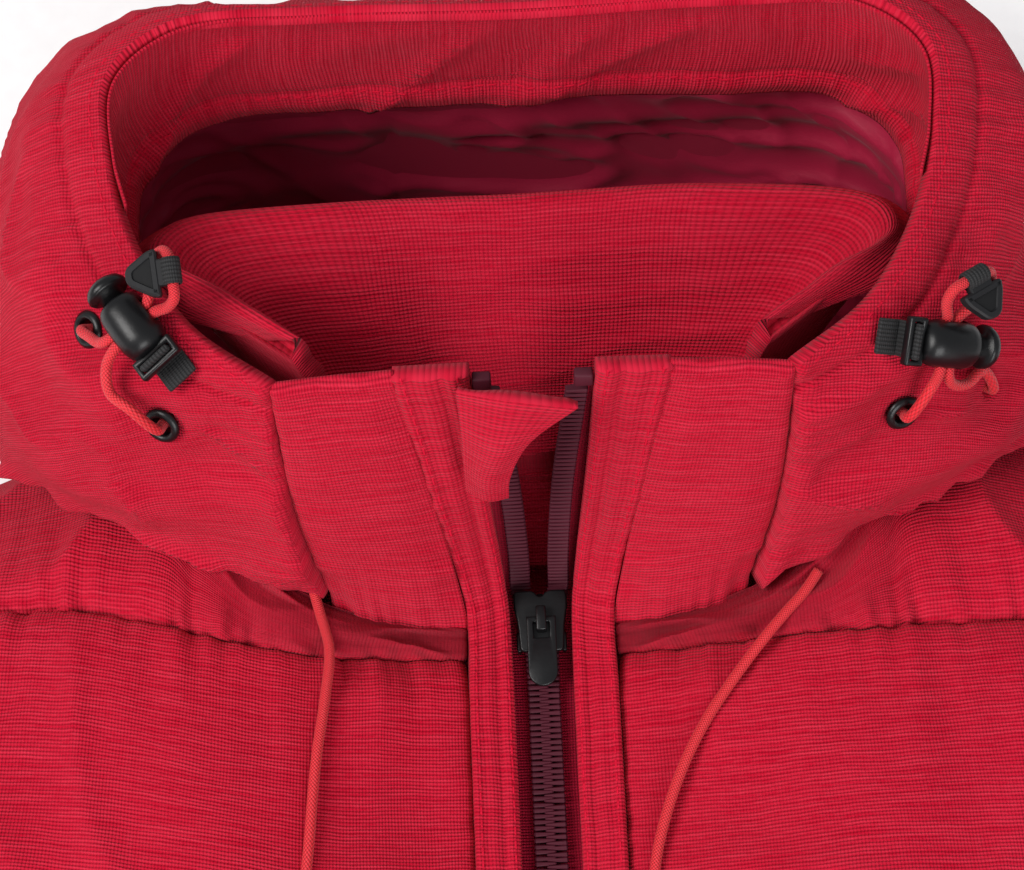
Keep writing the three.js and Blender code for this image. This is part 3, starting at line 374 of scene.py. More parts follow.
# A sewn panel: a grid laid on a surface, given an outer and an inner face.
# outside and inside say how far each face stands off, from the distances in mm along (a) and across (b) it.
# dense packs the columns towards the start, and draped lays the weave level instead of along the grid.
# holes are the middles of eyelets, and dents are where something presses on the cloth.
def panel(name, surface, columns, rows, facing, outside, inside, replaces, material=None, turn=0.0,
          wrap=False, body="jacket", dense=1.0, draped=False, holes=(), dents=()):
    lattice = [[surface(j / rows, (i / columns) ** dense) for i in range(columns + 1)]
               for j in range(rows + 1)]

    def normal(j, i):
        j0, j1 = max(j - 1, 0), min(j + 1, rows)
        if wrap:
            side = lattice[j][(i + 1) % columns] - lattice[j][(i - 1) % columns]
        else:
            side = lattice[j][min(i + 1, columns)] - lattice[j][max(i - 1, 0)]
        return (lattice[j1][i] - lattice[j0][i]).cross(side).normalized() * facing

    alongs, acrosses = [0.0], [0.0]
    for i in range(columns):
        alongs.append(alongs[-1] + (lattice[rows // 2][i + 1] - lattice[rows // 2][i]).length)
    for j in range(rows):
        acrosses.append(acrosses[-1] + (lattice[j + 1][columns // 2] - lattice[j][columns // 2]).length)
    wide, tall = alongs[-1], acrosses[-1]
    bm = bmesh.new()
    bmesh.ops.create_grid(bm, x_segments=columns, y_segments=rows, size=0.5)
    column, row = bm.verts.layers.int.new("column"), bm.verts.layers.int.new("row")
    cloth = bm.loops.layers.uv.new("cloth")
    for vert in bm.verts:
        vert[column], vert[row] = round((vert.co.x + 0.5) * columns), round((vert.co.y + 0.5) * rows)
        vert.co = lattice[vert[row]][vert[column]]
    c, s = math.cos(math.radians(turn)), math.sin(math.radians(turn))
    for face in bm.faces:
        for loop in face.loops:
            i, j = loop.vert[column], loop.vert[row]
            a, b = alongs[i], acrosses[j]
            if draped:
                point, out = lattice[j][i], normal(j, i)
                drop = hood["rimHeight"] - point.z
                a, b = point.x + drop * out.x, point.y + drop * out.y
            loop[cloth].uv = (a * c - b * s, a * s + b * c)
    if wrap:
        bmesh.ops.remove_doubles(bm, verts=bm.verts, dist=1e-3)
    raised = bmesh.ops.extrude_face_region(bm, geom=bm.faces[:], use_keep_orig=True)["geom"]
    outer = {v for v in raised if isinstance(v, bmesh.types.BMVert)}
    for vert in bm.verts:
        i, j = vert[column], vert[row]
        out = normal(j, i)
        a, b = alongs[i], acrosses[j]
        stand = outside(a, b, wide, tall) if vert in outer else -inside(a, b, wide, tall)
        gap = min([(lattice[j][i] - centre).length for centre in holes], default=99)
        if vert in outer and gap < pressed["eyeletReach"]:  # flat under an eyelet, and sunk within its ring
            sink = 1 - ease((gap - pressed["eyeletHole"]) / pressed["holeFade"])
            stand *= ease((gap - pressed["flatWithin"]) / pressed["flatFade"])
            stand -= pressed["eyeletDepth"] * sink
        for centre in dents if vert in outer else ():  # pressed in under a piece that lies on it
            stand -= pressed["dentDepth"] * bump((lattice[j][i] - centre).length, pressed["dentWidth"])
        point = lattice[j][i] + out * stand
        vert.co = at(point.x, point.y, max(point.z, pressed["lowest"]))
        if vert in outer:
            sewn[name, i, j] = (vert.co.copy(), out)
    bmesh.ops.recalc_face_normals(bm, faces=bm.faces)
    piece = finishPiece(bm, name, material or shell, body, replaces=replaces)


stitch = {"length": 2.3, "gap": 0.9, "width": 0.55, "height": 0.3}


# A row of stitches on a panel, from one place in its grid to another: pairs of (column, row).
def addStitches(name, panelName, start, end):
    count = max(abs(end[0] - start[0]), abs(end[1] - start[1]))
    spots = []
    for k in range(count + 1):
        i = start[0] + (end[0] - start[0]) * k // count
        j = start[1] + (end[1] - start[1]) * k // count
        spots.append(sewn[panelName, i, j])
    bm = bmesh.new()
    run, due = 0.0, 0.0
    for (here, out), (there, _) in zip(spots, spots[1:]):
        step = there - here
        while due <= run + step.length and step.length > 0:
            centre = here + step * ((due - run) / step.length)
            ahead = step.normalized()
            level = out.cross(ahead).normalized()
            place = seat(centre, ahead, level, ahead.cross(level))
            made = bmesh.ops.create_cube(bm, size=1.0)["verts"]
            for vert in made:
                x, y, z = vert.co
                taper = 0.6 if z > 0 else 1.0
                size = (x * stitch["length"] * taper, y * stitch["width"] * taper, z * stitch["height"])
                vert.co = place @ (Vector(size) * mm)
            due += (stitch["length"] + stitch["gap"]) * mm
        run += step.length
    bmesh.ops.recalc_face_normals(bm, faces=bm.faces)
    finishPiece(bm, name, thread, smooth=False)


def onePadding(depth):
    return lambda a, b, wide, tall: depth


def edgeDistance(a, b, wide, tall):
    return min(a, wide - a, b, tall - b)


# A round cord on a smooth route, as a tube with its own map: once round, and mm along.
def roundCord(route, diameter, sides=14):
    points = vectors(route)
    steps = 7 * (len(points) - 1)
    line = [curvePoint(points, k / steps) for k in range(steps + 1)]
    bm = bmesh.new()
    bmesh.ops.create_grid(bm, x_segments=sides, y_segments=steps, size=0.5)
    cloth = bm.loops.layers.uv.new("cloth")
    length = sum((line[k + 1] - line[k]).length for k in range(steps))
    for face in bm.faces:
        for loop in face.loops:
            loop[cloth].uv = (loop.vert.co.x + 0.5, (loop.vert.co.y + 0.5) * length)
    rings = {}
    across = Vector((0.31, 0.17, 0.93))
    for k in range(steps + 1):
        ahead = (line[min(k + 1, steps)] - line[max(k - 1, 0)]).normalized()
        across = (across - ahead * across.dot(ahead)).normalized()
        rings[k] = (line[k], across, ahead.cross(across))
    for vert in bm.verts:
        k, angle = round((vert.co.y + 0.5) * steps), (vert.co.x + 0.5) * 2 * math.pi
        centre, one, other = rings[k]
        vert.co = at(*(centre + (one * math.cos(angle) + other * math.sin(angle)) * diameter / 2))
    bmesh.ops.remove_doubles(bm, verts=bm.verts, dist=1e-6)
    bmesh.ops.holes_fill(bm, edges=[e for e in bm.edges if e.is_boundary], sides=0)
    bmesh.ops.recalc_face_normals(bm, faces=bm.faces)
    return bm, [at(*p) for p in line]


# Half a profile turned about the X axis. Points are (along, radius) in mm.
def turned(bm, profile, steps):
    verts = [bm.verts.new((a, r, 0)) for a, r in profile]
    edges = [bm.edges.new(pair) for pair in zip(verts, verts[1:])]
    bmesh.ops.spin(bm, geom=verts + edges, axis=(1, 0, 0), cent=(0, 0, 0), steps=steps, angle=2 * math.pi,
                   use_merge=True)
    ring = {v for e in bm.edges for v in e.verts}
    bmesh.ops.remove_doubles(bm, verts=list(ring), dist=1e-4)


def bevelled(bm, edges, offset, segments):
    bmesh.ops.bevel(bm, geom=edges, offset=offset, offset_type="OFFSET", affect="EDGES", segments=segments,
                    profile=0.5, material=-1)


def thickened(bm, faces, depth):  # the points of the lid that it adds
    lid = bmesh.ops.extrude_face_region(bm, geom=faces, use_keep_orig=True)["geom"]
    top = [v for v in lid if isinstance(v, bmesh.types.BMVert)]
    bmesh.ops.translate(bm, verts=top, vec=(0, 0, depth))
    return top


def blockOf(bm, low, high, edge=0.0, segments=2):
    made = bmesh.ops.create_cube(bm, size=1.0)["verts"]
    low, high = Vector(low), Vector(high)
    for vert in made:
        vert.co = Vector([mix(low[k], high[k], vert.co[k] + 0.5) for k in range(3)])
    if edge:
        bevelled(bm, list({e for v in made for e in v.link_edges}), edge, segments)


# A flat plate with a rounded outline, lying in XY between two heights.
def plateOf(bm, outline, low, high, edge):
    face = bm.faces.new([bm.verts.new((x, y, low)) for x, y in outline])
    top = thickened(bm, [face], high - low)
    rims = [e for e in bm.edges if abs(e.verts[0].co.z - e.verts[1].co.z) < 1e-6
            and all(v in top or v in face.verts for v in e.verts)]
    bevelled(bm, rims, edge, 3)


def roundedOutline(corners, radius, steps=6):
    outline = []
    count = len(corners)
    for k, corner in enumerate(corners):
        here = Vector(corner)
        before, after = Vector(corners[k - 1]) - here, Vector(corners[(k + 1) % count]) - here
        reach = min(radius, before.length * 0.49, after.length * 0.49)
        a, b = here + before.normalized() * reach, here + after.normalized() * reach
        for n in range(steps + 1):
            t = n / steps
            outline.append(tuple(a * (1 - t) ** 2 + here * 2 * t * (1 - t) + b * t * t))
    return outline


def settle(bm, matrix):  # from a piece's own mm frame to its place
    bmesh.ops.recalc_face_normals(bm, faces=bm.faces)
    for vert in bm.verts:
        vert.co = at(*(matrix @ vert.co))


def seat(origin, along, across, out):
    matrix = Matrix((Vector(along), Vector(across), Vector(out))).transposed().to_4x4()
    matrix.translation = Vector(origin)
    return matrix


hoodCord = {"diameter": 2.5, "lengths": {"left": 110.9, "right": 108.2}}
elasticRoutes = {
    "left": [(81.88, -0.63, 130.52), (83, -3, 131.98), (83.83, -4.74, 133.04), (88.65, -0.74, 142.9),
             (89.8, 1.13, 145.01), (90.58, 5.05, 147.08), (91.89, 11.59, 150.52), (91.56, 14.17, 153.8),
             (92.78, 15.9, 156.59), (95.42, 17.44, 156.82), (97.73, 18.88, 156.25),
             (100.03, 20.33, 155.68), (101.86, 20.75, 153.52), (101.42, 19, 150.47),
             (98.17, 15.39, 149.41), (94.12, 11.83, 149.2), (92.81, 5.3, 145.76), (92.03, 1.38, 143.7),
             (93.27, 0.3, 140.26), (97.31, 1.49, 136.46), (101.25, 5.18, 134.92),
             (105.48, 4.71, 123.46), (104, 6, 122.47), (101.97, 7.76, 121.13)],
    "right": [(-81.84, 2.24, 134.9), (-83, 0, 136.52), (-83.85, -1.64, 137.72), (-89.12, 0.89, 145.41),
              (-93.38, 4.76, 145.59), (-93.72, 9.78, 148.33), (-91.42, 12.85, 151.28),
              (-87.99, 15.13, 153.1), (-82.28, 18.94, 156.13), (-78.84, 19.16, 158.51),
              (-77.03, 20.08, 161.37), (-77.1, 22.78, 162.82), (-77.38, 25.47, 163.44),
              (-77.67, 28.17, 164.06), (-79.12, 30.47, 163.17), (-81.45, 30.16, 160.51),
              (-82.99, 26.03, 158.21), (-83.75, 21.09, 156.19), (-89.45, 17.28, 153.15),
              (-92.88, 15, 151.33), (-95.37, 15.42, 148.81), (-97.6, 17.58, 146.85),
              (-100.37, 21.25, 142.63), (-99, 22, 141.08), (-97.13, 23.02, 138.97)],
}
drawcord = {"diameter": 2.5, "endRadius": 2.3, "endLength": 13, "lengths": {"left": 170.7, "right": 170.3}}
drawcordRoutes = {
    "left": [(65.5, -28.5, 96.5), (62, -33, 95.5), (57.52, -37.39, 94.28), (52.92, -42.12, 92.97),
             (47.53, -48.15, 91.32), (42.49, -54.28, 89.74), (38.16, -59.96, 88.36),
             (34.14, -66.31, 87.07), (30.35, -73.67, 85.86), (27.06, -81.81, 84.79),
             (24.33, -90.83, 83.89), (22.78, -100.71, 83.24), (22.54, -111.4, 82.88),
             (24.03, -122.75, 82.92), (27.18, -134.46, 83.36), (31.45, -145.7, 84.21),
             (36.47, -156.75, 85.34), (41.25, -168.31, 86.48), (46, -180, 87.64)],
    "right": [(-53.5, -26.5, 93), (-52, -32.5, 92.95), (-50.9, -36.43, 92.55), (-50.05, -40.47, 92.22),
              (-50.12, -45.32, 92.12), (-50.82, -50.6, 92.19), (-51.8, -57.28, 92.3),
              (-53.07, -64.92, 92.48), (-54.25, -74.91, 92.57), (-55.34, -86.94, 92.59),
              (-56.89, -99.3, 92.72), (-58.92, -112.06, 92.97), (-60.53, -124.61, 93.11),
              (-61.74, -136.84, 93.15), (-61.9, -149.08, 92.91), (-60.81, -161.49, 92.36),
              (-58.69, -173.36, 91.52), (-55.53, -183.79, 90.38), (-52, -194, 89.13)],
}


def addCords():
    for side, route in elasticRoutes.items():
        bm, path = roundCord(route, hoodCord["diameter"])
        piece = finishPiece(bm, f"elastic_{side}", cordRed, replaces=[f"elastic_cord_{side}"])
    for side, route in drawcordRoutes.items():
        bm, path = roundCord(route, drawcord["diameter"])
        piece = finishPiece(bm, f"drawcord_on_chest_{side}", cordRed,
                            replaces=[f"drawcord_{side}"])
        tip, before = Vector(route[-1]), Vector(route[-2])
        ahead = (tip - before).normalized()
        level = ahead.cross(Vector((0, 0, 1))).normalized()
        lift = Vector((0, 0, drawcord["endRadius"] - drawcord["diameter"] / 2))
        matrix = seat(tip + lift, ahead, level.cross(ahead) * -1, level)
        r, long = drawcord["endRadius"], drawcord["endLength"]
        bm = bmesh.new()
        turned(bm, [(0.4, 0), (0.4, r - 0.6), (0.8, r - 0.1), (1.6, r), (long - 3, r * 0.94),
                    (long - 1, r * 0.8), (long - 0.2, r * 0.5), (long, 0)], 24)
        settle(bm, matrix)
        end = finishPiece(bm, f"drawcord_end_{side}", rubber,
                          replaces=[f"cord_end_{side}"])


addCords()
print("cords done")


hood = {"rimHeight": 150, "rimThickness": 3.4, "padding": 9, "rimHem": 8.5, "rimRise": 1.0, "hemGroove": 1.1,
        "puff": 1.8, "gathers": 5.1, "wideGathers": 2.72, "hemGathers": 1.6, "folds": 4.94, "creases": 2.2,
        "endGathers": 0.9, "baseDrop": 5.5, "endDrop": 1.2, "dent": (96, 10, 140), "columns": 300, "rows": 100}
hoodWall = overGuides([
    bothWays([(0, 95, 150), (46, 95.5, 151), (80, 93, 151.5), (94, 80, 152), (94, 60, 152), (89, 40, 151),
              (77, 19, 151), (58.3, 1.5, 152)]),
    bothWays([(0, 103, 138), (50, 103, 139), (90, 101, 142), (109, 84, 142), (110, 60, 143), (103, 35, 143),
              (87, 9, 143), (57.8, -4, 142)]),
    bothWays([(0, 117, 66), (55, 116, 68), (104, 106, 74), (127, 82, 84), (130, 56, 98), (125, 25, 112),
              (106, -1, 116), (56, -17.5, 118)]),
    bothWays([(0, 111, 8), (60, 112, 8), (104, 100, 8), (125, 77, 10), (134, 52, 36), (137, 22, 78),
              (113, -4, 99), (51, -29.5, 92)]),
])
eyelet = {"hole": 2.35, "flange": 4.3, "height": 1.3, "depth": 4, "wall": 0.65}
eyelets = {  # the middle of each, and the way it faces
    "right_upper": ((-99, 22, 141.08), (-0.62, -0.34, 0.7)),
    "right_lower": ((-83, 0, 136.52), (-0.39, -0.75, 0.54)),
    "left_lower": ((83, -3, 131.98), (0.37, -0.79, 0.48)),
    "left_upper": ((104, 6, 122.47), (0.67, -0.59, 0.45)),
}


def hoodOutside(a, b, wide, tall):
    end, base = min(a, wide - a), tall - b
    near = ease(1 - end / 190)  # the sides, close to the zip
    stand = hood["rimRise"] * bump(b - 3.5, 4) - hood["hemGroove"] * bump(b - hood["rimHem"], 1.0)
    stand += hood["puff"] * ease((b - hood["rimHem"]) / 12)
    stand += hood["gathers"] * puckers(a, base, 8, 13, 2) * ease(b / 20)
    stand += hood["wideGathers"] * puckers(a, base, 17, 26, 3) * ease(b / 20)
    stand += hood["hemGathers"] * puckers(a, b - hood["rimHem"], 7, 9, 5) * ease(b / hood["rimHem"] - 0.4)
    stand += hood["folds"] * drift(a, b * 0.8, 30, 1) * ease((b - 6) / 22)
    stand += hood["creases"] * creases(a * 0.9 + b * 0.7, b * 0.5 - a * 0.5, 26, 4) * ease((b - 10) / 20)
    stand += hood["endGathers"] * puckers(b, end, 8, 12, 6)
    stand -= hood["baseDrop"] * (1 - roundEdge(base / 12))
    stand -= hood["endDrop"] * (1 - roundEdge(end / 3)) * near
    return stand


def hoodInside(a, b, wide, tall):
    return mix(hood["rimThickness"], hood["padding"], ease(b / tall / 0.4))


def addHood():
    panel("hood_shell", hoodWall, hood["columns"], hood["rows"], -1, hoodOutside, hoodInside,
          ["hood_side_left", "hood_side_right", "hood_back"], draped=True,
          holes=[Vector(place) for place, out in eyelets.values()], dents=[Vector(hood["dent"])])


def addEyelets():
    r, flange, tallest, deep = eyelet["hole"], eyelet["flange"], eyelet["height"], -eyelet["depth"]
    barrel = r + eyelet["wall"]
    for name, (place, out) in eyelets.items():
        out = Vector(out).normalized()
        level = out.cross(Vector((0, 0, 1))).normalized()
        bm = bmesh.new()
        turned(bm, [(deep, barrel), (0.1, barrel), (0.1, flange), (0.45, flange + 0.05), (0.95, flange - 0.35),
                    (tallest, flange - 1.0), (tallest - 0.1, r + 0.45), (tallest - 0.6, r), (deep, r),
                    (deep, barrel)], 44)
        settle(bm, seat(place, out, level, out.cross(level)))
        finishPiece(bm, f"eyelet_ring_{name}", plastic, replaces=[f"eyelet_{name}"])


facing = {"thickness": 1.4, "folds": 1.5, "creases": 2.2, "hemRise": 1.2, "hemGathers": 0.9, "hemGroove": 0.8,
          "columns": 150, "rows": 40}
brimFacing = overGuides([
    bothWays([(0, 92.7, 149.4), (46, 93.1, 150.3), (78, 90.5, 150.8), (91.4, 78.5, 151.3), (91.3, 60, 151.3),
              (88.4, 48, 150.8)]),
    bothWays([(0, 92.5, 128), (47, 92.5, 128), (80.5, 88.5, 129), (93, 76, 130), (94.5, 58, 131),
              (91, 46, 131.5)]),
    bothWays([(0, 91, 108), (45, 91, 108), (78, 87, 110), (90, 73.5, 112), (91, 56, 114), (88, 46, 115)]),
])


def facingOutside(a, b, wide, tall):
    stand = facing["folds"] * drift(a, b * 0.7, 26, 11) * ease(b / 8)
    stand += facing["creases"] * creases(a + b * 0.9, b * 0.4, 30, 12) * ease((b - 4) / 12) - 0.8
    hem = tall - b
    stand += facing["hemRise"] * bump(hem - 5, 3) + facing["hemGathers"] * puckers(a, abs(hem - 7), 7, 5, 13)
    return stand - facing["hemGroove"] * bump(hem - 9.5, 0.9)


liner = {"thickness": 1.2, "folds": 2.6, "creases": 2.8, "fineCreases": 1.5, "gathers": 0.8, "ridge": 3.0,
         "seamGroove": 0.9, "columns": 230, "rows": 120}
hoodLining = overGuides([
    bothWays([(0, 93.6, 118), (44, 93.6, 118), (79, 90, 120), (92.5, 75, 122), (94, 56, 123), (91, 46, 124)]),
    bothWays([(0, 94, 80), (46, 94, 80), (81, 89, 82), (95, 73, 85), (97, 55, 89), (94, 44, 92)]),
    bothWays([(0, 84, 42), (46, 84, 42), (76, 80, 44), (90, 69, 50), (93, 54, 60), (88, 40, 72)]),
    bothWays([(0, 62, 22), (42, 62, 22), (66, 61, 24), (78, 58, 34), (84, 50, 50), (80, 42, 64)]),
    bothWays([(0, 42, 34), (34, 42, 34), (52, 44, 36), (64, 46, 46), (70, 46, 58), (70, 42, 70)]),
])


def liningOutside(a, b, wide, tall):
    stand = liner["folds"] * drift(a, b * 1.7, 44, 21) * ease(b / 10)
    stand += liner["creases"] * creases(a * 0.4 + b * 0.2, b * 1.2 - a * 0.1, 24, 22) * ease(b / 12) - 1.4
    stand += liner["fineCreases"] * creases(a * 0.8 - b * 0.9, b * 0.5 + a * 0.35, 15, 23) * ease(b / 10)
    stand += liner["gathers"] * puckers(a, b, 10, 16, 25)
    stand += liner["ridge"] * bump(b - 26 - 5 * drift(a, 0, 50, 24), 5)
    return stand - liner["seamGroove"] * bump(a - wide * 0.375, 0.9)


def addHoodInside():
    panel("brim_facing", brimFacing, facing["columns"], facing["rows"], 1,
          facingOutside, onePadding(facing["thickness"]), ["hood_brim"], turn=90)
    panel("hood_satin", hoodLining, liner["columns"], liner["rows"], 1, liningOutside,
          onePadding(liner["thickness"]), ["hood_lining"], material=lining)


crown = {"halfWidth": 92, "length": 70, "start": 26, "height": 6, "padding": (1.5, 5.3), "unevenness": 0.2}


def crownSurface(u, v):
    angle = mix(-0.08, math.pi + 0.08, v)
    reach = mix(0.02, 1, u)
    ahead = crown["length"] * math.sin(angle) * reach
    return Vector((crown["halfWidth"] * math.cos(angle) * reach, crown["start"] + ahead + 6 * (1 - reach),
                   crown["height"]))


def crownInside(a, b, wide, tall):
    return mix(*crown["padding"], roundEdge(edgeDistance(a, b, wide, tall) / 8))


def addCrown():
    panel("hood_crown_shell", crownSurface, 60, 24, 1,
          lambda a, b, w, t: crown["unevenness"] * drift(a, b, 20, 31), crownInside, ["hood_crown"])


addHood()
addStitches("hood_hem_stitches", "hood_shell", (2, 5), (hood["columns"] - 2, 5))
addEyelets()
addHoodInside()
facingRow = facing["rows"] - 8
addStitches("facing_stitches", "brim_facing", (2, facingRow), (facing["columns"] - 2, facingRow))
addCrown()
print("hood done")


# Sizes that the collar, the plackets and the body share
placketHalf, placketEdge, hemBand = 17.5, 7.0, 34.0
seam, touch = 1.5, 0.4
yokeSeam, sideSeamHeight, sleeveHeight, shoulderRise = -42.0, 34.0, 80.0, 74.0
shoulder, underarm, chestHalf = (222.0, -13.0), (272.0, -258.0), 285.0
shoulderSlope = (shoulderRise - shoulder[1]) / shoulder[0]


def zipHeight(y):
    return 79 + 0.03 * min(0, y + 25)


def armholeX(y):
    return mix(underarm[0], shoulder[0], min(max((y - underarm[1]) / (shoulder[1] - underarm[1]), 0), 1))


def halfWidth(y):
    if y < underarm[1]:
        return mix(underarm[0], chestHalf, ease((underarm[1] - y) / 60))
    return armholeX(y)


def shoulderY(x):
    return shoulderRise - shoulderSlope * abs(x)


def frontHeight(x, y):
    t = min(max((y - underarm[1]) / (shoulder[1] - underarm[1]), 0), 1)
    edge = sideSeamHeight + (sleeveHeight - sideSeamHeight) * math.sqrt(max(0, 1 - (2 * t - 1) ** 2))
    core = mix(zipHeight(y) + 2, 98 + 0.02 * min(0, y), ease(abs(x) / 88))
    across = edge + (core - edge) * roundEdge((halfWidth(y) - abs(x)) / 90)
    return sideSeamHeight + (across - sideSeamHeight) * roundEdge((shoulderY(x) - y) / 62)


def yokeSeamY(x):
    return yokeSeam - 0.25 * max(0, abs(x) - 130)


def mirrored(surface):
    def other(u, v):
        point = surface(u, v)
        return Vector((-point.x, point.y, point.z))
    return other


sides = (("left", 1, lambda surface: surface), ("right", -1, mirrored))
placketRows = (-51, -120, -380, -bodyLength + 4)
placket = overGuides([
    vectors([(14, 1.5, 154), (10.8, -12.4, 117), (8.8, -21, 94), (7.4, -30, 84)]
            + [(placketEdge, y, frontHeight(placketEdge, y) + 1) for y in placketRows]),
    vectors([(30.8, 2, 153), (24, -14.6, 118), (20, -23, 96), (17.3, -33, 85)]
            + [(placketHalf, y, frontHeight(placketHalf, y) + 1) for y in placketRows]),
])
collarFront = overGuides([
    vectors([(17.5, -37.5, 78), (34, -36.5, 81.5), (49.5, -33, 86)]),
    vectors([(17.6, -33.4, 83.5), (34, -32.4, 86.5), (49.8, -28.8, 91)]),
    vectors([(19.9, -24.4, 97), (35, -25, 101), (52.5, -24, 104)]),
    vectors([(23.5, -15.4, 118), (38, -16.5, 119), (55.4, -17, 119)]),
    vectors([(30.4, 1.9, 153.5), (44, 1.5, 153), (57.8, 0.8, 152)]),
])
collarBack = overGuides([
    bothWays([(0, 62, 116), (50, 62, 116), (84, 58, 118), (92, 44, 128), (85, 28, 139), (61, 16, 144)]),
    bothWays([(0, 55, 127), (42, 55, 127.5), (79, 50, 130.5), (83, 40, 137), (66, 25, 146), (51, 13.5, 148)]),
    bothWays([(0, 26, 112), (36, 25, 112), (53, 22, 114), (56, 15, 117), (51, 8, 120), (44, 2.5, 122)]),
    bothWays([(0, 9, 86), (30, 8, 86), (44, 5, 87), (48, -1, 88), (46, -6, 90), (41, -10.5, 92)]),
    bothWays([(0, 5, 68), (28, 4, 68), (42, 1, 68), (46, -4, 69), (44, -8.5, 69), (39.5, -13, 70)]),
    bothWays([(0, -14, 63), (22, -15, 63), (32, -17, 63), (36, -19, 64), (35, -21, 65), (33, -23, 66)]),
])
turnedCorner = overGuides([
    vectors([(-15.5, -15.2, 128), (-11, -17.6, 127.5), (-6.5, -16.8, 127)]),
    vectors([(-15.6, -12.6, 136), (-11, -15.8, 136), (-5.8, -15.2, 136.5)]),
    vectors([(-15.8, -8.6, 146), (-8, -12.6, 147), (-1.5, -11.6, 147.5)]),
    vectors([(-16.5, -2.5, 157), (-5, -5.6, 158.5), (9.5, -7, 156)]),
])
topstitch = {"inset": 2.4, "ridge": 0.55, "width": 1.3, "welt": 2.1}
strip = {"thickness": 4.3, "gathers": 0.7, "unevenness": 0.5, "weltGroove": 0.5, "collarFoot": 74,
         "footGroove": 0.4, "stitchRows": (3, 19), "stitchEnd": 230}


def placketOutside(a, b, wide, tall):
    welt = b - topstitch["welt"]
    stand = 0.9 * roundEdge(b / 1.4) + 0.35 * roundEdge((tall - b) / 0.8) - 0.95
    for line in (tall - 1.1, tall - topstitch["inset"] - 2.1):
        stand += topstitch["ridge"] * bump(b - line, topstitch["width"])
    stand += topstitch["ridge"] * bump(welt, 1.0) - strip["weltGroove"] * bump(welt - 1.7, 0.5)
    stand += strip["gathers"] * puckers(a, min(abs(tall - b), 9), 6, 5, 41)
    stand += strip["unevenness"] * drift(a, b, 14, 42)
    return stand - strip["footGroove"] * bump(a - strip["collarFoot"], 1.0)


collar = {"edgeDrop": 2.0, "seamDrop": 0.5, "puff": 1.0, "sideGathers": 1.3, "unevenness": 1.0,
          "footGathers": 1.2, "hemRise": 0.5, "hemGroove": 0.4, "padding": (3.2, 6.4)}


def collarOutside(a, b, wide, tall):
    edge = min(wide - a, tall - b)
    stand = collar["edgeDrop"] * (roundEdge(edge / 3) - 1) + collar["seamDrop"] * (roundEdge(a / 1.5) - 1)
    stand += collar["puff"] * ease(min(edge, a) / 9)
    stand += collar["sideGathers"] * puckers(b, min(a, wide - a), 8, 7, 51)
    stand += collar["unevenness"] * drift(a, b, 17, 52)
    stand += collar["footGathers"] * puckers(a, max(b - 6, 0), 7, 9, 53) * ease(b / 6)
    hem = tall - b
    return stand + collar["hemRise"] * bump(hem - 2.0, 0.9) - collar["hemGroove"] * bump(hem - 4.4, 0.6)


def collarInside(a, b, wide, tall):
    return mix(*collar["padding"], ease((tall - b) / 24))


def addCollar():
    for side, sign, place in sides:
        panel(f"placket_cloth_{side}", place(placket), 300, 22, -sign, placketOutside,
              onePadding(strip["thickness"]), [f"placket_{side}"], turn=90, dense=1.5)
        panel(f"collar_cloth_{side}", place(collarFront), 80, 100, -sign, collarOutside, collarInside,
              [f"collar_front_{side}"])
        for row in strip["stitchRows"]:
            addStitches(f"placket_stitches_{row}_{side}", f"placket_cloth_{side}", (1, row),
                        (strip["stitchEnd"], row))
    panel("collar_inside", collarBack, 190, 110, 1, collarBackOutside, collarBackInside, ["collar_back"])
    panel("turned_corner", turnedCorner, 46, 60, 1, cornerOutside, onePadding(chinFlap["thickness"]),
          ["chin_guard"], body="chin_guard")


backOfCollar = {"edgeRise": 1.6, "unevenness": 1.3, "creases": 1.2, "gathers": 1.6, "padding": (2.2, 4.6)}


def collarBackOutside(a, b, wide, tall):
    middle = abs(a - wide / 2)
    stand = backOfCollar["edgeRise"] * bump(b - 13, 5) + backOfCollar["unevenness"] * drift(a, b * 1.5, 30, 61)
    ridges = creases(a * 0.3, b + 0.06 * middle, 13, 62)
    stand += backOfCollar["creases"] * ridges * ease((b - 12) / 12) - 0.5
    stand += backOfCollar["gathers"] * puckers(a, abs(b - 14), 11, 8, 63) * ease((middle - 30) / 40)
    return stand


def collarBackInside(a, b, wide, tall):
    return mix(*backOfCollar["padding"], ease((b - 6) / 12))


chinFlap = {"thickness": 0.9, "wave": 1.6, "creases": 1.4, "hemRise": 0.6, "unevenness": 0.6}


def cornerOutside(a, b, wide, tall):
    fold = chinFlap["wave"] * math.sin((a * 0.8 + b * 0.3) / wide * math.pi * 1.9) * ease(a / 5)
    fold += chinFlap["creases"] * creases(a * 0.7 + b * 0.7, b * 0.2, 11, 72) * ease(a / 6)
    hem = bump(min(wide - a, b) - 0.8, 0.7)
    stand = chinFlap["thickness"] + fold + chinFlap["hemRise"] * hem
    return stand + chinFlap["unevenness"] * drift(a, b, 9, 71)


chain = {"half": 2.5, "pitch": 1.4, "width": 5.2, "along": 1.22, "height": 2.6, "tape": 9.0, "halfWidth": 3.1,
         "drop": 2.4, "end": -628, "sliderY": -33.0}
parting = ((0, chain["end"]), (0, -300), (0, -73), (0, -47), (0.4, -38), (1.9, -31), (2.9, -25.5),
           (3.2, -23.4))
chainRoute = vectors(  # the two halves part within the slider and follow the collar's edges up
    [(chain["half"] + apart, y, zipHeight(y) - chain["drop"]) for apart, y in parting]
    + [(5.9, -18.7, 90), (7.4, -9.6, 116), (10.9, 1.6, 146)])


def chainAt(v):
    near = 0.004
    ahead = curvePoint(chainRoute, min(v + near, 1)) - curvePoint(chainRoute, max(v - near, 0))
    return curvePoint(chainRoute, v), Vector((0, -ahead.z, ahead.y)).normalized()


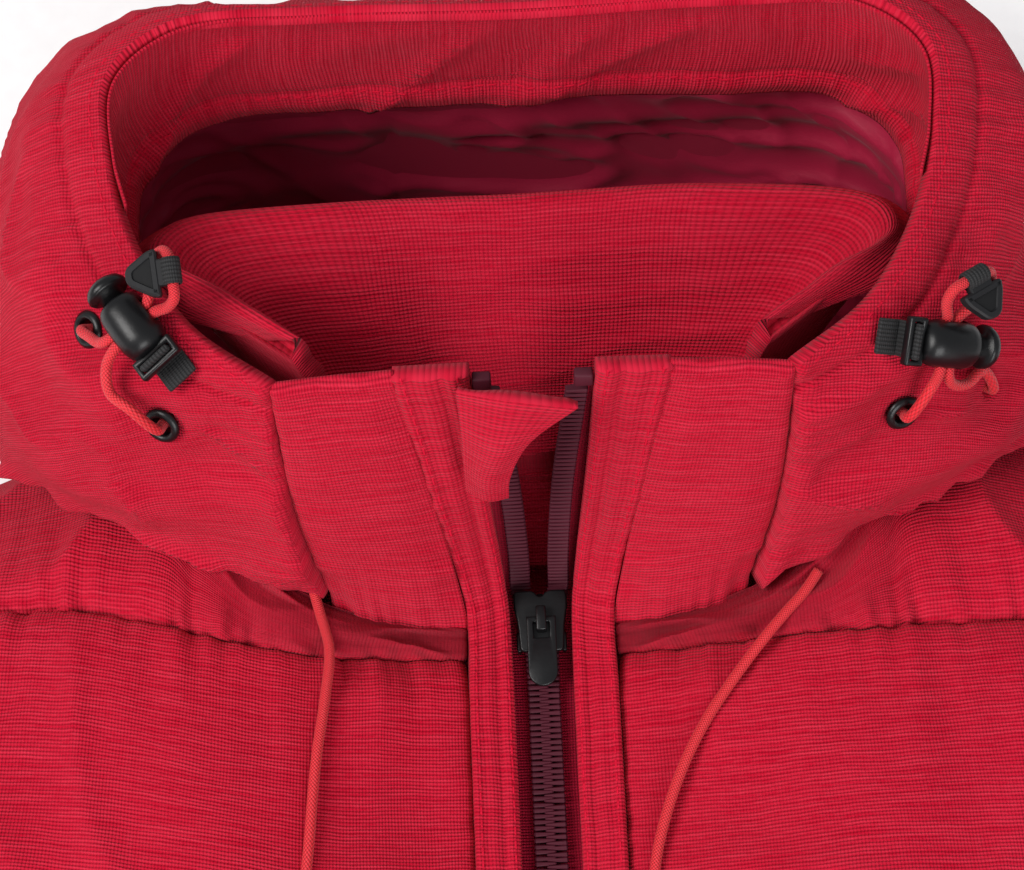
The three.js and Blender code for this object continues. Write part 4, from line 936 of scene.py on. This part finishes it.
def tapeSurface(u, v):
    centre, face = chainAt(v)
    drop = mix(2.3, 3.2, ease((centre.z - 80) / 12)) - 0.5
    return centre - face * drop + Vector((chain["tape"] * u - chain["halfWidth"] / 2, 0, 0))


zipEnds = {"stop": (4.2, 2.8, 3.8), "stopPlace": (11.2, 2.3, 149.2), "stopLean": -0.3, "boxHalf": 5,
           "boxLength": 8, "boxGap": 0.4}


def addZip():
    tooth = bmesh.new()  # one turn of the coil, its head towards the middle of the zip
    w, h = chain["width"], chain["height"]
    blockOf(tooth, (-w + 1.55, -chain["along"] / 2, -h / 2), (1.4, chain["along"] / 2, h / 2), 0.36, 1)
    for vert in tooth.verts:
        tip = ease((-vert.co.x - 1.2) / 2.4)
        vert.co.y *= mix(1, 0.5, tip)
        vert.co.z *= mix(1, 0.8, tip)
    template = bpy.data.meshes.new("tooth")
    tooth.to_mesh(template)
    tooth.free()
    steps = 4000
    line = [chainAt(k / steps) for k in range(steps + 1)]
    for side, sign, place in sides:
        bm = bmesh.new()
        target = chain["pitch"] * (0.5 if sign > 0 else 1.0)
        run = 0.0
        for k in range(steps):
            run += (line[k + 1][0] - line[k][0]).length
            if run < target:
                continue
            target += chain["pitch"]
            centre, face = line[k]
            ahead = (line[k + 1][0] - centre).normalized()
            old = len(bm.verts)
            bm.from_mesh(template)
            bm.verts.ensure_lookup_table()
            level = Vector((1, 0, 0))
            for vert in bm.verts[old:]:
                x, y, z = vert.co
                spot = centre + level * x + ahead * y + face * z
                vert.co = at(sign * spot.x, spot.y, spot.z)
        bmesh.ops.recalc_face_normals(bm, faces=bm.faces)
        finishPiece(bm, f"zip_teeth_{side}", plumTeeth, smooth=False,
                    replaces=[f"zip_chain_{side}"])
        panel(f"tape_{side}", place(tapeSurface), 300, 6, sign, onePadding(0), onePadding(0.9),
              [f"zip_tape_{side}"], material=tapeCloth, turn=90)
        bm = bmesh.new()
        half = Vector(zipEnds["stop"]) / 2
        x, y, z = zipEnds["stopPlace"]
        blockOf(bm, -half, half, 0.5)
        settle(bm, Matrix.Translation((x * sign, y, z)) @ Matrix.Rotation(zipEnds["stopLean"], 4, "X"))
        finishPiece(bm, f"top_stop_{side}", plumTeeth, replaces=[f"zip_top_stop_{side}"])
    bm = bmesh.new()
    top, start = zipHeight(chain["end"]), chain["end"] - zipEnds["boxGap"]
    blockOf(bm, (-zipEnds["boxHalf"], start - zipEnds["boxLength"], top - 6),
            (zipEnds["boxHalf"], start, top - 0.2), 0.9)
    settle(bm, Matrix())
    finishPiece(bm, "retainer_box", plastic, replaces=["zip_retainer_box"])


# A plate with an eye: both outlines have the same number of points.
def eyePlate(bm, outer, inner, low, high, edge):
    rows = [[bm.verts.new((x, y, low)) for x, y in line] for line in (outer, inner)]
    count = len(outer)
    faces = [bm.faces.new((rows[0][k], rows[0][(k + 1) % count], rows[1][(k + 1) % count], rows[1][k]))
             for k in range(count)]
    thickened(bm, faces, high - low)
    rims = [e for e in bm.edges if len(e.link_faces) == 2 and abs(e.calc_face_angle(0)) > 1.2
            and abs(e.verts[0].co.z - e.verts[1].co.z) < 1e-6]
    bevelled(bm, rims, edge, 2)


def puller(bm, width, length, thickness, floor):
    half, bar, points = width / 2, 0.7, 48
    foot, corner = bar - length + half, math.sqrt(0.5)
    outer, inner = [], []
    for k in range(points):
        angle = 2 * math.pi * k / points
        x, y = math.cos(angle), math.sin(angle)
        square = max(abs(x), abs(y))
        inner.append((x / square * (half - 1.6), y / square * 1.95 - bar - 1.95))
        if y > corner:
            outer.append((x / corner * half, bar))
        elif y < -corner:
            turn = x / corner * math.pi / 2
            outer.append((half * math.sin(turn), foot - half * math.cos(turn)))
        else:
            outer.append((math.copysign(half, x), mix(foot, bar, (y / corner + 1) / 2)))
    eyePlate(bm, outer, inner, floor, floor + thickness, 0.3)


# The slider's own frame: x across the zip, y up along it, z out of the cloth.
slider = {"outline": [(-5.2, -7.5), (5.2, -7.5), (5.6, -1), (6.5, 4), (6.3, 7.5), (1.6, 7.5), (0, 5.6),
                      (-1.6, 7.5), (-6.3, 7.5), (-6.5, 4), (-5.6, -1)],
          "rounding": 1.2, "topPlate": (-0.55, 1.25), "bottomPlate": (-6.85, -5.05), "edge": 0.5,
          "post": ((-0.6, 1.5, -5.5), (0.6, 6.9, -0.05)), "flanges": (4.9, 6.0), "bridge": (0.9, 4.2, 3.45),
          "puller": (7, 17, 1.2, 1.7)}  # its width, length, thickness and height above the cloth


def addBridge(bm, foot, crest, bar):  # the loop on a slider that its puller hangs from
    for way in (-1, 1):
        blockOf(bm, (-1.2, way * 2.3 - 0.7, foot), (1.2, way * 2.3 + 0.7, crest), 0.3)
    blockOf(bm, (-1.2, -3, bar), (1.2, 3, bar + 0.9), 0.35)


def addSlider():
    base = seat((0, chain["sliderY"], zipHeight(chain["sliderY"])), (1, 0, 0), (0, 0.99955, 0.029987),
                (0, -0.029987, 0.99955))
    bm = bmesh.new()
    outline = roundedOutline(slider["outline"], slider["rounding"])
    plateOf(bm, outline, *slider["topPlate"], slider["edge"])
    plateOf(bm, outline, *slider["bottomPlate"], slider["edge"])
    blockOf(bm, *slider["post"])
    for sign in (-1, 1):
        low, high = sorted(sign * x for x in slider["flanges"])
        blockOf(bm, (low, -7.2, -3.3), (high, -2.6, -0.2), 0.3)
    addBridge(bm, *slider["bridge"])
    settle(bm, base)
    finishPiece(bm, "slider_body", plastic, "zip_slider", replaces=["zip_slider"])
    bm = bmesh.new()
    puller(bm, *slider["puller"])
    settle(bm, base)
    finishPiece(bm, "slider_puller", plastic, "zip_puller", replaces=["zip_puller"])


addCollar()
addZip()
addSlider()
print("collar and zip done")


# Each lock's own frame: x along it from the button to the strap, z out of the cloth.
lock = {"radius": 5.4, "length": 14, "bore": 3.3, "depth": 11.5,
        "cordSlot": ((2.8, -9, -1.75), (9.2, 9, 1.75)),
        "lug": ((13.2, -5.45, -1.2), (18, 5.45, 1.2)), "lugSlot": ((14.9, -4.35, -3), (17, 4.35, 3)),
        "cap": -2.9, "stem": 2.95, "stemSlot": ((0.1, -9, -1.75), (9, 9, 1.75)),
        "strapThrough": ((15.25, -4, -6.2), (16.65, 4, 2.4)), "strapEnd": ((15.9, -4, -6.2), (21.6, 4, -4.8))}
locks = {
    "left": {"along": (-0.858, -0.0941, 0.505), "across": (-0.1743, -0.8715, -0.4584),
             "out": (0.4833, -0.4813, 0.7313), "origin": (97.195, 7.482, 144.308)},
    "right": {"along": (0.5622, -0.8267, -0.0208), "across": (0.7609, 0.5073, 0.4046),
              "out": (-0.324, -0.2433, 0.9142), "origin": (-90.574, 22.182, 154.061)},
}
tabs = {
    "left": {"along": (-0.83016, -0.517208, 0.20816), "across": (0.40717, -0.81749, -0.40733),
             "out": (0.38085, -0.2534, 0.88924), "origin": (97.727, 18.882, 156.246)},
    "right": {"along": (-0.106435, 0.969608, 0.220298), "across": (-0.9937, -0.09593, -0.05789),
              "out": (-0.035, -0.22507, 0.97371), "origin": (-77.384, 25.473, 163.439)},
}


def carved(bm, cutter):  # bm with the other shape taken away
    shapes = []
    for shape in (bm, cutter):
        bmesh.ops.recalc_face_normals(shape, faces=shape.faces)
        mesh = bpy.data.meshes.new("carving")
        shape.to_mesh(mesh)
        shape.free()
        shapes.append(bpy.data.objects.new("carving", mesh))
        bpy.context.collection.objects.link(shapes[-1])
    taken = shapes[0].modifiers.new("taken", "BOOLEAN")
    taken.operation, taken.object, taken.solver = "DIFFERENCE", shapes[1], "EXACT"
    solid = bpy.data.meshes.new_from_object(shapes[0].evaluated_get(bpy.context.evaluated_depsgraph_get()))
    left = bmesh.new()
    left.from_mesh(solid)
    for shape in shapes:
        bpy.data.objects.remove(shape)
    return left


def flatMap(bm, lay):
    cloth = bm.loops.layers.uv.new("cloth")
    for face in bm.faces:
        for loop in face.loops:
            loop[cloth].uv = lay(loop.vert.co)


def addLocks():
    r, long, bore, deep = lock["radius"], lock["length"], lock["bore"], lock["depth"]
    cap, stem = lock["cap"], lock["stem"]
    for side, frameOf in locks.items():
        place = seat(frameOf["origin"], frameOf["along"], frameOf["across"], frameOf["out"])
        bm, hole = bmesh.new(), bmesh.new()
        turned(bm, [(deep, 0), (deep, bore), (0.3, bore), (0, bore + 0.3), (0, r - 1.3), (0.25, r - 0.8),
                    (0.9, r - 0.35), (2.6, r), (7, r + 0.1), (10.5, r - 0.15), (12.6, r - 0.8),
                    (13.6, r - 1.9), (long, r - 3), (long, 0)], 48)
        blockOf(hole, *lock["cordSlot"], 0.4)
        bm = carved(bm, hole)
        settle(bm, place)
        finishPiece(bm, f"barrel_{side}", plastic, replaces=[f"lock_barrel_{side}"])
        bm, hole = bmesh.new(), bmesh.new()
        blockOf(bm, *lock["lug"], 0.5)
        blockOf(hole, *lock["lugSlot"])
        bm = carved(bm, hole)
        settle(bm, place)
        finishPiece(bm, f"barrel_lug_{side}", plastic)
        bm, hole = bmesh.new(), bmesh.new()
        turned(bm, [(cap - 3.6, 0), (cap - 3.55, 1.6), (cap - 3.2, 3.2), (cap - 2.5, 4.3), (cap - 1.5, 4.9),
                    (cap - 0.6, 5.0), (cap, 4.6), (cap, stem), (8, stem), (8, 0)], 48)
        blockOf(hole, *lock["stemSlot"])
        bm = carved(bm, hole)
        settle(bm, place)
        finishPiece(bm, f"button_{side}", plastic, f"lock_button_{side}",
                    replaces=[f"lock_button_{side}"])
        bm = bmesh.new()
        blockOf(bm, *lock["strapThrough"], 0.45)
        blockOf(bm, *lock["strapEnd"], 0.45)
        flatMap(bm, lambda p: (p.y, p.z + p.x))
        settle(bm, place)
        finishPiece(bm, f"webbing_{side}", webbingBlack,
                    replaces=[f"lock_webbing_{side}"])
        addTab(side)


tab = {"outline": [(-5.5, 2.7), (5.5, 2.7), (4.9, 5.0), (1.7, 10.0), (-1.7, 10.0), (-4.9, 5.0)],
       "rounding": 1.5, "thickness": 2.4, "rim": 0.45, "rimDrop": 0.4, "border": 1.0, "recess": 0.4,
       "lug": ((-3, 0, -1.15), (3, 3.8, 1.0)), "bandHalf": 3, "bandRadius": 2.2}


def addTab(side):
    frameOf = tabs[side]
    place = seat(frameOf["origin"], frameOf["along"], frameOf["across"], frameOf["out"])
    bm = bmesh.new()
    outline = roundedOutline(tab["outline"], tab["rounding"])
    face = bm.faces.new([bm.verts.new((x, y, -tab["thickness"] / 2)) for x, y in outline])
    top = thickened(bm, [face], tab["thickness"])
    upper = next(f for f in bm.faces if all(v in top for v in f.verts))
    rim = bmesh.ops.inset_individual(bm, faces=[upper], thickness=tab["rim"], depth=0)["faces"]
    for vert in {v for f in rim for v in f.verts} - set(upper.verts):
        vert.co.z -= tab["rimDrop"]
    bmesh.ops.inset_individual(bm, faces=[upper], thickness=tab["border"], depth=0)
    bmesh.ops.inset_individual(bm, faces=[upper], thickness=0.2, depth=-tab["recess"])
    upper.material_index = 1
    blockOf(bm, *tab["lug"], 0.4)
    settle(bm, place)
    finishPiece(bm, f"tab_plate_{side}", [rubber, insetRubber], f"pull_tab_{side}",
                smooth=False, replaces=[f"pull_tab_{side}"])
    bm = bmesh.new()
    half, r = tab["bandHalf"], tab["bandRadius"]
    turned(bm, [(-half, r - 0.6), (0.05 - half, r - 0.2), (0.4 - half, r), (half - 0.4, r),
                (half - 0.05, r - 0.2), (half, r - 0.6), (-half, r - 0.6)], 30)
    flatMap(bm, lambda p: (p.x, p.y))
    settle(bm, place)
    finishPiece(bm, f"tab_band_{side}", webbingBlack, f"pull_tab_{side}")


addLocks()
print("locks done")


neckPlan = [Vector((x, y, 0)) for x, y in ((17, -34), (47, -30), (64, -20), (80, 8), (92, 32),
                                           (shoulder[0] + 1, shoulderY(shoulder[0])))]
neckKept = {}


def yOnNeckPlan(x):
    key = round(x, 3)
    if key not in neckKept:
        low, high = 0.0, 1.0
        for _ in range(22):
            middle = (low + high) / 2
            low, high = (middle, high) if curvePoint(neckPlan, middle).x < x else (low, middle)
        neckKept[key] = curvePoint(neckPlan, low).y
    return neckKept[key]


panelBottom = -bodyLength + hemBand


seamRise = {"left": 0, "right": 13}  # the yoke seam climbs a little towards one shoulder


def chest(side):
    def seamY(x):
        return yokeSeamY(x) + seamRise[side] * ease((x - 45) / 75)

    def front(u, v):
        y = mix(seamY(mix(placketHalf, shoulder[0], u)) - 0.1, panelBottom + touch, v)
        x = mix(placketHalf + 0.15, halfWidth(y) - touch, u)
        return Vector((x, y, frontHeight(x, y)))

    def yoke(u, v):
        nominal = mix(placketHalf, shoulder[0], v)
        y = mix(seamY(nominal) + 0.1, yOnNeckPlan(nominal) - touch, u)
        x = mix(placketHalf + 0.15, armholeX(y) - touch, v)
        return Vector((x, y, frontHeight(x, y)))
    return front, yoke


def backPanel(u, v):
    side = mix(-1, 1, u)
    top = mix(0, shoulderY(shoulder[0] * abs(side)), ease((shoulder[0] * abs(side) - 88) / 26)) - touch
    y = mix(panelBottom + touch, top, v)
    x = side * (halfWidth(y) - touch)
    lift = back["underNeck"] * ease((y + 74) / 74) * ease((100 - abs(x)) / 34)
    return Vector((x, y, lift + padding["depth"]))


def roundBody(start, end, frontInset, backInset, sideInset):
    kept = {}

    def girth(y):
        half = halfWidth(y) - sideInset
        row = [(x, frontHeight(x, y) - frontInset)
               for x in (placketHalf + 2 * seam, half * 0.3, half * 0.55, half * 0.76, half * 0.9)]
        row += [(half, mix(backInset, frontHeight(half, y) - frontInset, 0.45)), (half * 0.93, backInset),
                (half * 0.5, backInset)]
        return [Vector((x, y, z)) for x, z in row + [(-x, z) for x, z in reversed(row)]]

    def surface(u, v):
        if u not in kept:
            kept[u] = girth(mix(start, end, u))
        return curvePoint(kept[u], v)
    return surface


padding = {"seamDrop": 3.6, "seamRound": 12, "puckers": 3.4, "widePuckers": 1.7, "sidePuckers": 1.2,
           "folds": 3.0, "creases": 2.4, "most": 4.5, "depth": 15.5}


def frontOutside(a, b, wide, tall):
    top, side = a, min(b, tall - b)
    stand = padding["seamDrop"] * (roundEdge(min(top, wide - top) / padding["seamRound"]) - 1)
    stand += 0.9 * (roundEdge(side / 3) - 1)
    stand += padding["puckers"] * puckers(b, top, 8, 12, 81) + padding["sidePuckers"] * puckers(a, b, 8, 8, 82)
    stand += padding["widePuckers"] * puckers(b, top, 19, 30, 85)
    stand += padding["folds"] * drift(a, b, 46, 83) * ease(min(side, top) / 12)
    ridges = creases(a * 0.5 + b * 0.35, b - a * 0.12, 40, 84)
    stand += padding["creases"] * ridges * ease(min(side, top) / 20) - 0.6
    return min(stand, padding["most"])


yokePadding = {"seamDrop": 4.2, "neckDrop": 0.4, "puckers": 3.8, "neckPuckers": 1.8, "widePuckers": 2.0,
               "folds": 2.6, "creases": 2.6, "most": 4.5, "depth": 14}


def yokeOutside(a, b, wide, tall):
    low, high = b, tall - b
    stand = yokePadding["seamDrop"] * (roundEdge(low / 12) - 1)
    stand += yokePadding["neckDrop"] * (roundEdge(min(a, high) / 2) - 1)
    stand += yokePadding["puckers"] * puckers(a, low, 8, 12, 91)
    stand += yokePadding["neckPuckers"] * puckers(a, high, 8, 10, 92)
    stand += yokePadding["widePuckers"] * puckers(a, low, 20, 30, 95)
    stand += yokePadding["folds"] * drift(a, b, 38, 93) * ease(min(low, high) / 12)
    ridges = creases(a * 0.8 + b * 0.3, b * 0.8, 34, 94)
    stand += yokePadding["creases"] * ridges * ease(min(low, high, a) / 14) - 0.6
    return min(stand, yokePadding["most"])


def softEdges(depth):  # flat, with a round edge at each end
    return lambda a, b, wide, tall: depth * (roundEdge(min(b, tall - b) / 3) - 1)


back = {"depth": 15.45, "lift": 0.3, "underNeck": 46}
hemCloth = {"padding": 5.8, "edge": 0.8, "fronts": 1.5, "back": 1.6}
bodyLining = {"thickness": 1.2, "unevenness": 0.5, "underYoke": 60, "overHem": 3, "fronts": 20, "back": 19.5,
              "sides": 0.115}


def addBody():
    for side, sign, place in sides:
        frontPanel, yoke = chest(side)
        panel(f"front_{side}", place(frontPanel), 230, 110, -sign, frontOutside, onePadding(padding["depth"]),
              [f"front_panel_{side}"], turn=90, dense=1.7)
        panel(f"yoke_cloth_{side}", place(yoke), 190, 50, -sign, yokeOutside, onePadding(yokePadding["depth"]),
              [f"yoke_{side}"])
    panel("back_cloth", backPanel, 110, 90, 1, onePadding(-back["lift"]), onePadding(back["depth"]),
          ["back_panel"], turn=90)
    band = roundBody(panelBottom - touch, -bodyLength, hemCloth["fronts"], hemCloth["back"], 1)
    panel("hem_cloth", band, 220, 14, 1, softEdges(hemCloth["edge"]), onePadding(hemCloth["padding"]), ["hem_band"])
    inner = roundBody(yokeSeam - bodyLining["underYoke"], panelBottom + bodyLining["overHem"],
                      bodyLining["fronts"], bodyLining["back"], bodyLining["sides"] * chestHalf)
    panel("body_satin", inner, 150, 60, 1, lambda a, b, w, t: bodyLining["unevenness"] * drift(a, b, 30, 111),
          onePadding(bodyLining["thickness"]), ["body_lining"], material=lining)


arm = {"angle": 46, "length": 610, "wrist": 112, "wristHeight": 56, "elbow": 9, "padding": 9.5, "endDrop": 3.0,
       "folds": 2.2, "creases": 1.6}
cuffs = {"length": 38, "padding": 3.8, "edge": 0.7, "strapLength": 62, "strapFrom": 32, "strapTo": 6,
         "strapStart": 0.14, "strapHeight": 2.8, "strapEdge": 0.5, "strapUnder": 0.6}
armTurn = math.radians(arm["angle"])
armWay = Vector((math.sin(armTurn), -math.cos(armTurn), 0))
acrossWay = Vector((armWay.y, -armWay.x, 0))


def armEdges(t):
    outerEnd = Vector((*shoulder, 0)) + armWay * arm["length"]
    innerEnd = outerEnd + acrossWay * arm["wrist"]
    elbow = arm["elbow"] * math.sin(math.pi * min(max(t, 0), 1))
    return (Vector((*shoulder, 0)).lerp(outerEnd, t) - acrossWay * elbow,
            Vector((*underarm, 0)).lerp(innerEnd, t))


def flatOval(outer, inner, height, turn):
    c, s = math.cos(turn), math.sin(turn)
    middle, reach = (outer + inner) / 2, (outer - inner) / 2
    rise = s if s >= 0 else -(abs(s) ** 0.45)
    return Vector((middle.x + reach.x * c, middle.y + reach.y * c, height / 2 * (1 + rise)))


def sleeve(u, v):
    outer, inner = armEdges(u)
    slack = acrossWay * touch
    point = flatOval(outer - slack, inner - slack, mix(sleeveHeight, arm["wristHeight"], u), v * 2 * math.pi)
    return point + armWay * mix(2 * touch, 0, u)


def cuff(u, v):
    outer, inner = armEdges(1)
    along = armWay * (2 * seam + cuffs["length"] * u)
    gather = 7 - 3 * u
    return flatOval(outer + along + acrossWay * gather, inner + along - acrossWay * gather,
                    arm["wristHeight"] - gather, v * 2 * math.pi)


def sleeveOutside(a, b, wide, tall):
    under = ease((a / wide - 0.5) / 0.06) * ease((1 - a / wide) / 0.06)  # it lies flat on this side
    end = min(b, tall - b)
    folds = arm["folds"] * drift(a, b, 60, 121) + arm["creases"] * creases(a * 0.4, b, 46, 122) - 0.6
    stand = arm["endDrop"] * (roundEdge(end / 12) - 1) + folds * ease(end / 20)
    return stand * (1 - under) - 0.3 * under


def strapOutside(a, b, wide, tall):
    return cuffs["strapHeight"] - cuffs["strapEdge"] * (1 - roundEdge(edgeDistance(a, b, wide, tall) / 1.2))


def addSleeves():
    reach = cuffs["strapLength"] / (arm["wrist"] * 2.6)  # a share of the way round the sleeve
    start, stop = 1 - cuffs["strapFrom"] / arm["length"], 1 - cuffs["strapTo"] / arm["length"]
    for side, sign, place in sides:
        panel(f"arm_{side}", place(lambda u, v: sleeve(mix(0.012, 0.999, u), v)), 120, 120, -sign,
              sleeveOutside, onePadding(arm["padding"]), [f"sleeve_{side}"], wrap=True)
        panel(f"cuff_cloth_{side}", place(cuff), 110, 16, -sign, softEdges(cuffs["edge"]),
              onePadding(cuffs["padding"]), [f"cuff_{side}"], wrap=True)

        def strap(u, v):
            return sleeve(mix(start, stop, u), mix(cuffs["strapStart"], cuffs["strapStart"] + reach, v))
        panel(f"cuff_strap_{side}", place(strap), 60, 24, -sign, strapOutside,
              onePadding(-cuffs["strapUnder"]), [f"cuff_tab_{side}"], material=rubber,
              body=f"cuff_tab_{side}")


pocket = {"x": 176, "y": -330, "length": 165, "lean": 11, "width": 11, "tapeHeight": 1.3, "toothHalf": 2.4,
          "toothHeights": (1.1, 1.95), "sliderBelowTop": 9.5, "bridge": (4.2, 7.4, 6.75),
          "outline": [(-3.4, -5.5), (3.4, -5.5), (4.5, 3), (4, 5.5), (-4, 5.5), (-4.5, 3)], "rounding": 1.2,
          "plate": (2.35, 4.55), "edge": 0.5, "puller": (6, 24, 1.2, 5.0)}


def addPockets():
    lean = math.radians(pocket["lean"])
    along = Vector((-math.sin(lean), math.cos(lean), 0))
    ends = []
    for reach in (-pocket["length"] / 2, pocket["length"] / 2):
        spot = Vector((pocket["x"], pocket["y"], 0)) + along * reach
        ends.append(Vector((spot.x, spot.y, frontHeight(spot.x, spot.y) + touch)))
    up = (ends[1] - ends[0]).normalized()
    across = Vector((up.y, -up.x, 0)).normalized()
    for side, sign, _ in sides:
        place = Matrix.Diagonal((sign, 1, 1, 1)) @ seat(ends[0], across, up, across.cross(up))
        bm = bmesh.new()
        blockOf(bm, (-pocket["width"] / 2, 0, touch),
                (pocket["width"] / 2, pocket["length"], pocket["tapeHeight"]), 0.3)
        flatMap(bm, lambda p: (p.x, p.y))
        settle(bm, place)
        finishPiece(bm, f"pocket_tape_{side}", tapeCloth, replaces=[f"pocket_zip_{side}"])
        bm = bmesh.new()
        half, (low, high) = pocket["toothHalf"], pocket["toothHeights"]
        for k in range(int(pocket["length"] / chain["pitch"]) - 1):
            y = (k + 0.7) * chain["pitch"]
            blockOf(bm, (-half, y - 0.5, low), (half, y + 0.5, high), 0.2, 1)
        settle(bm, place)
        finishPiece(bm, f"pocket_teeth_{side}", plumTeeth, smooth=False)
        slid = place @ Matrix.Translation((0, pocket["length"] - pocket["sliderBelowTop"], 0))
        bm = bmesh.new()
        plateOf(bm, roundedOutline(pocket["outline"], pocket["rounding"]), *pocket["plate"], pocket["edge"])
        addBridge(bm, *pocket["bridge"])
        settle(bm, slid)
        finishPiece(bm, f"pocket_slider_body_{side}", plastic, f"pocket_slider_{side}",
                    replaces=[f"pocket_slider_{side}"])
        bm = bmesh.new()
        puller(bm, *pocket["puller"])
        settle(bm, slid)
        finishPiece(bm, f"pocket_puller_grip_{side}", plastic, f"pocket_puller_{side}",
                    replaces=[f"pocket_puller_{side}"])


addBody()
addSleeves()
addPockets()
for side in locks:
    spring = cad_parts[f"lock_spring_{side}"]
    spring.data.materials.clear()
    spring.data.materials.append(steel)
print("body and sleeves done")


studio = {"floor": (0.86, 0.86, 0.865, 1), "world": (0.95, 0.97, 1.0, 1), "fill": 0.47}
lamps = [  # place and target in metres from the neck, size, watts
    {"place": (-1.1, -0.25, 1.35), "target": (0, -0.03, 0.1), "size": 0.9, "power": 28,
     "colour": (1, 0.98, 0.96)},
    {"place": (0.35, -1.35, 0.75), "target": (0, 0.02, 0.11), "size": 0.9, "power": 17, "colour": (1, 1, 1)},
]


def addStudio():
    bm = bmesh.new()
    bmesh.ops.create_grid(bm, x_segments=1, y_segments=1, size=6)
    bmesh.ops.translate(bm, verts=bm.verts, vec=(0, 0, -0.0005))
    floorCloth = moulded("pale floor", studio["floor"], 0.8, 300.0, 0.00002)
    mesh = bpy.data.meshes.new("floor")
    bm.to_mesh(mesh)
    bm.free()
    mesh.materials.append(floorCloth)
    floor = bpy.data.objects.new("floor", mesh)
    bpy.context.collection.objects.link(floor)
    world = bpy.data.worlds.new("studio")
    world.use_nodes = True
    world.node_tree.nodes["Background"].inputs[0].default_value = studio["world"]
    world.node_tree.nodes["Background"].inputs[1].default_value = studio["fill"]
    bpy.context.scene.world = world
    for k, lamp in enumerate(lamps):
        data = bpy.data.lights.new(f"lamp_{k}", "AREA")
        data.size, data.energy, data.color = lamp["size"], lamp["power"], lamp["colour"]
        light = bpy.data.objects.new(f"lamp_{k}", data)
        place = Vector(lamp["place"]) + Vector((0, neckY, 0))
        aim = Vector(lamp["target"]) + Vector((0, neckY, 0)) - place
        light.matrix_world = Matrix.Translation(place) @ aim.to_track_quat("-Z", "Y").to_matrix().to_4x4()
        bpy.context.collection.objects.link(light)


addStudio()
print("studio done")
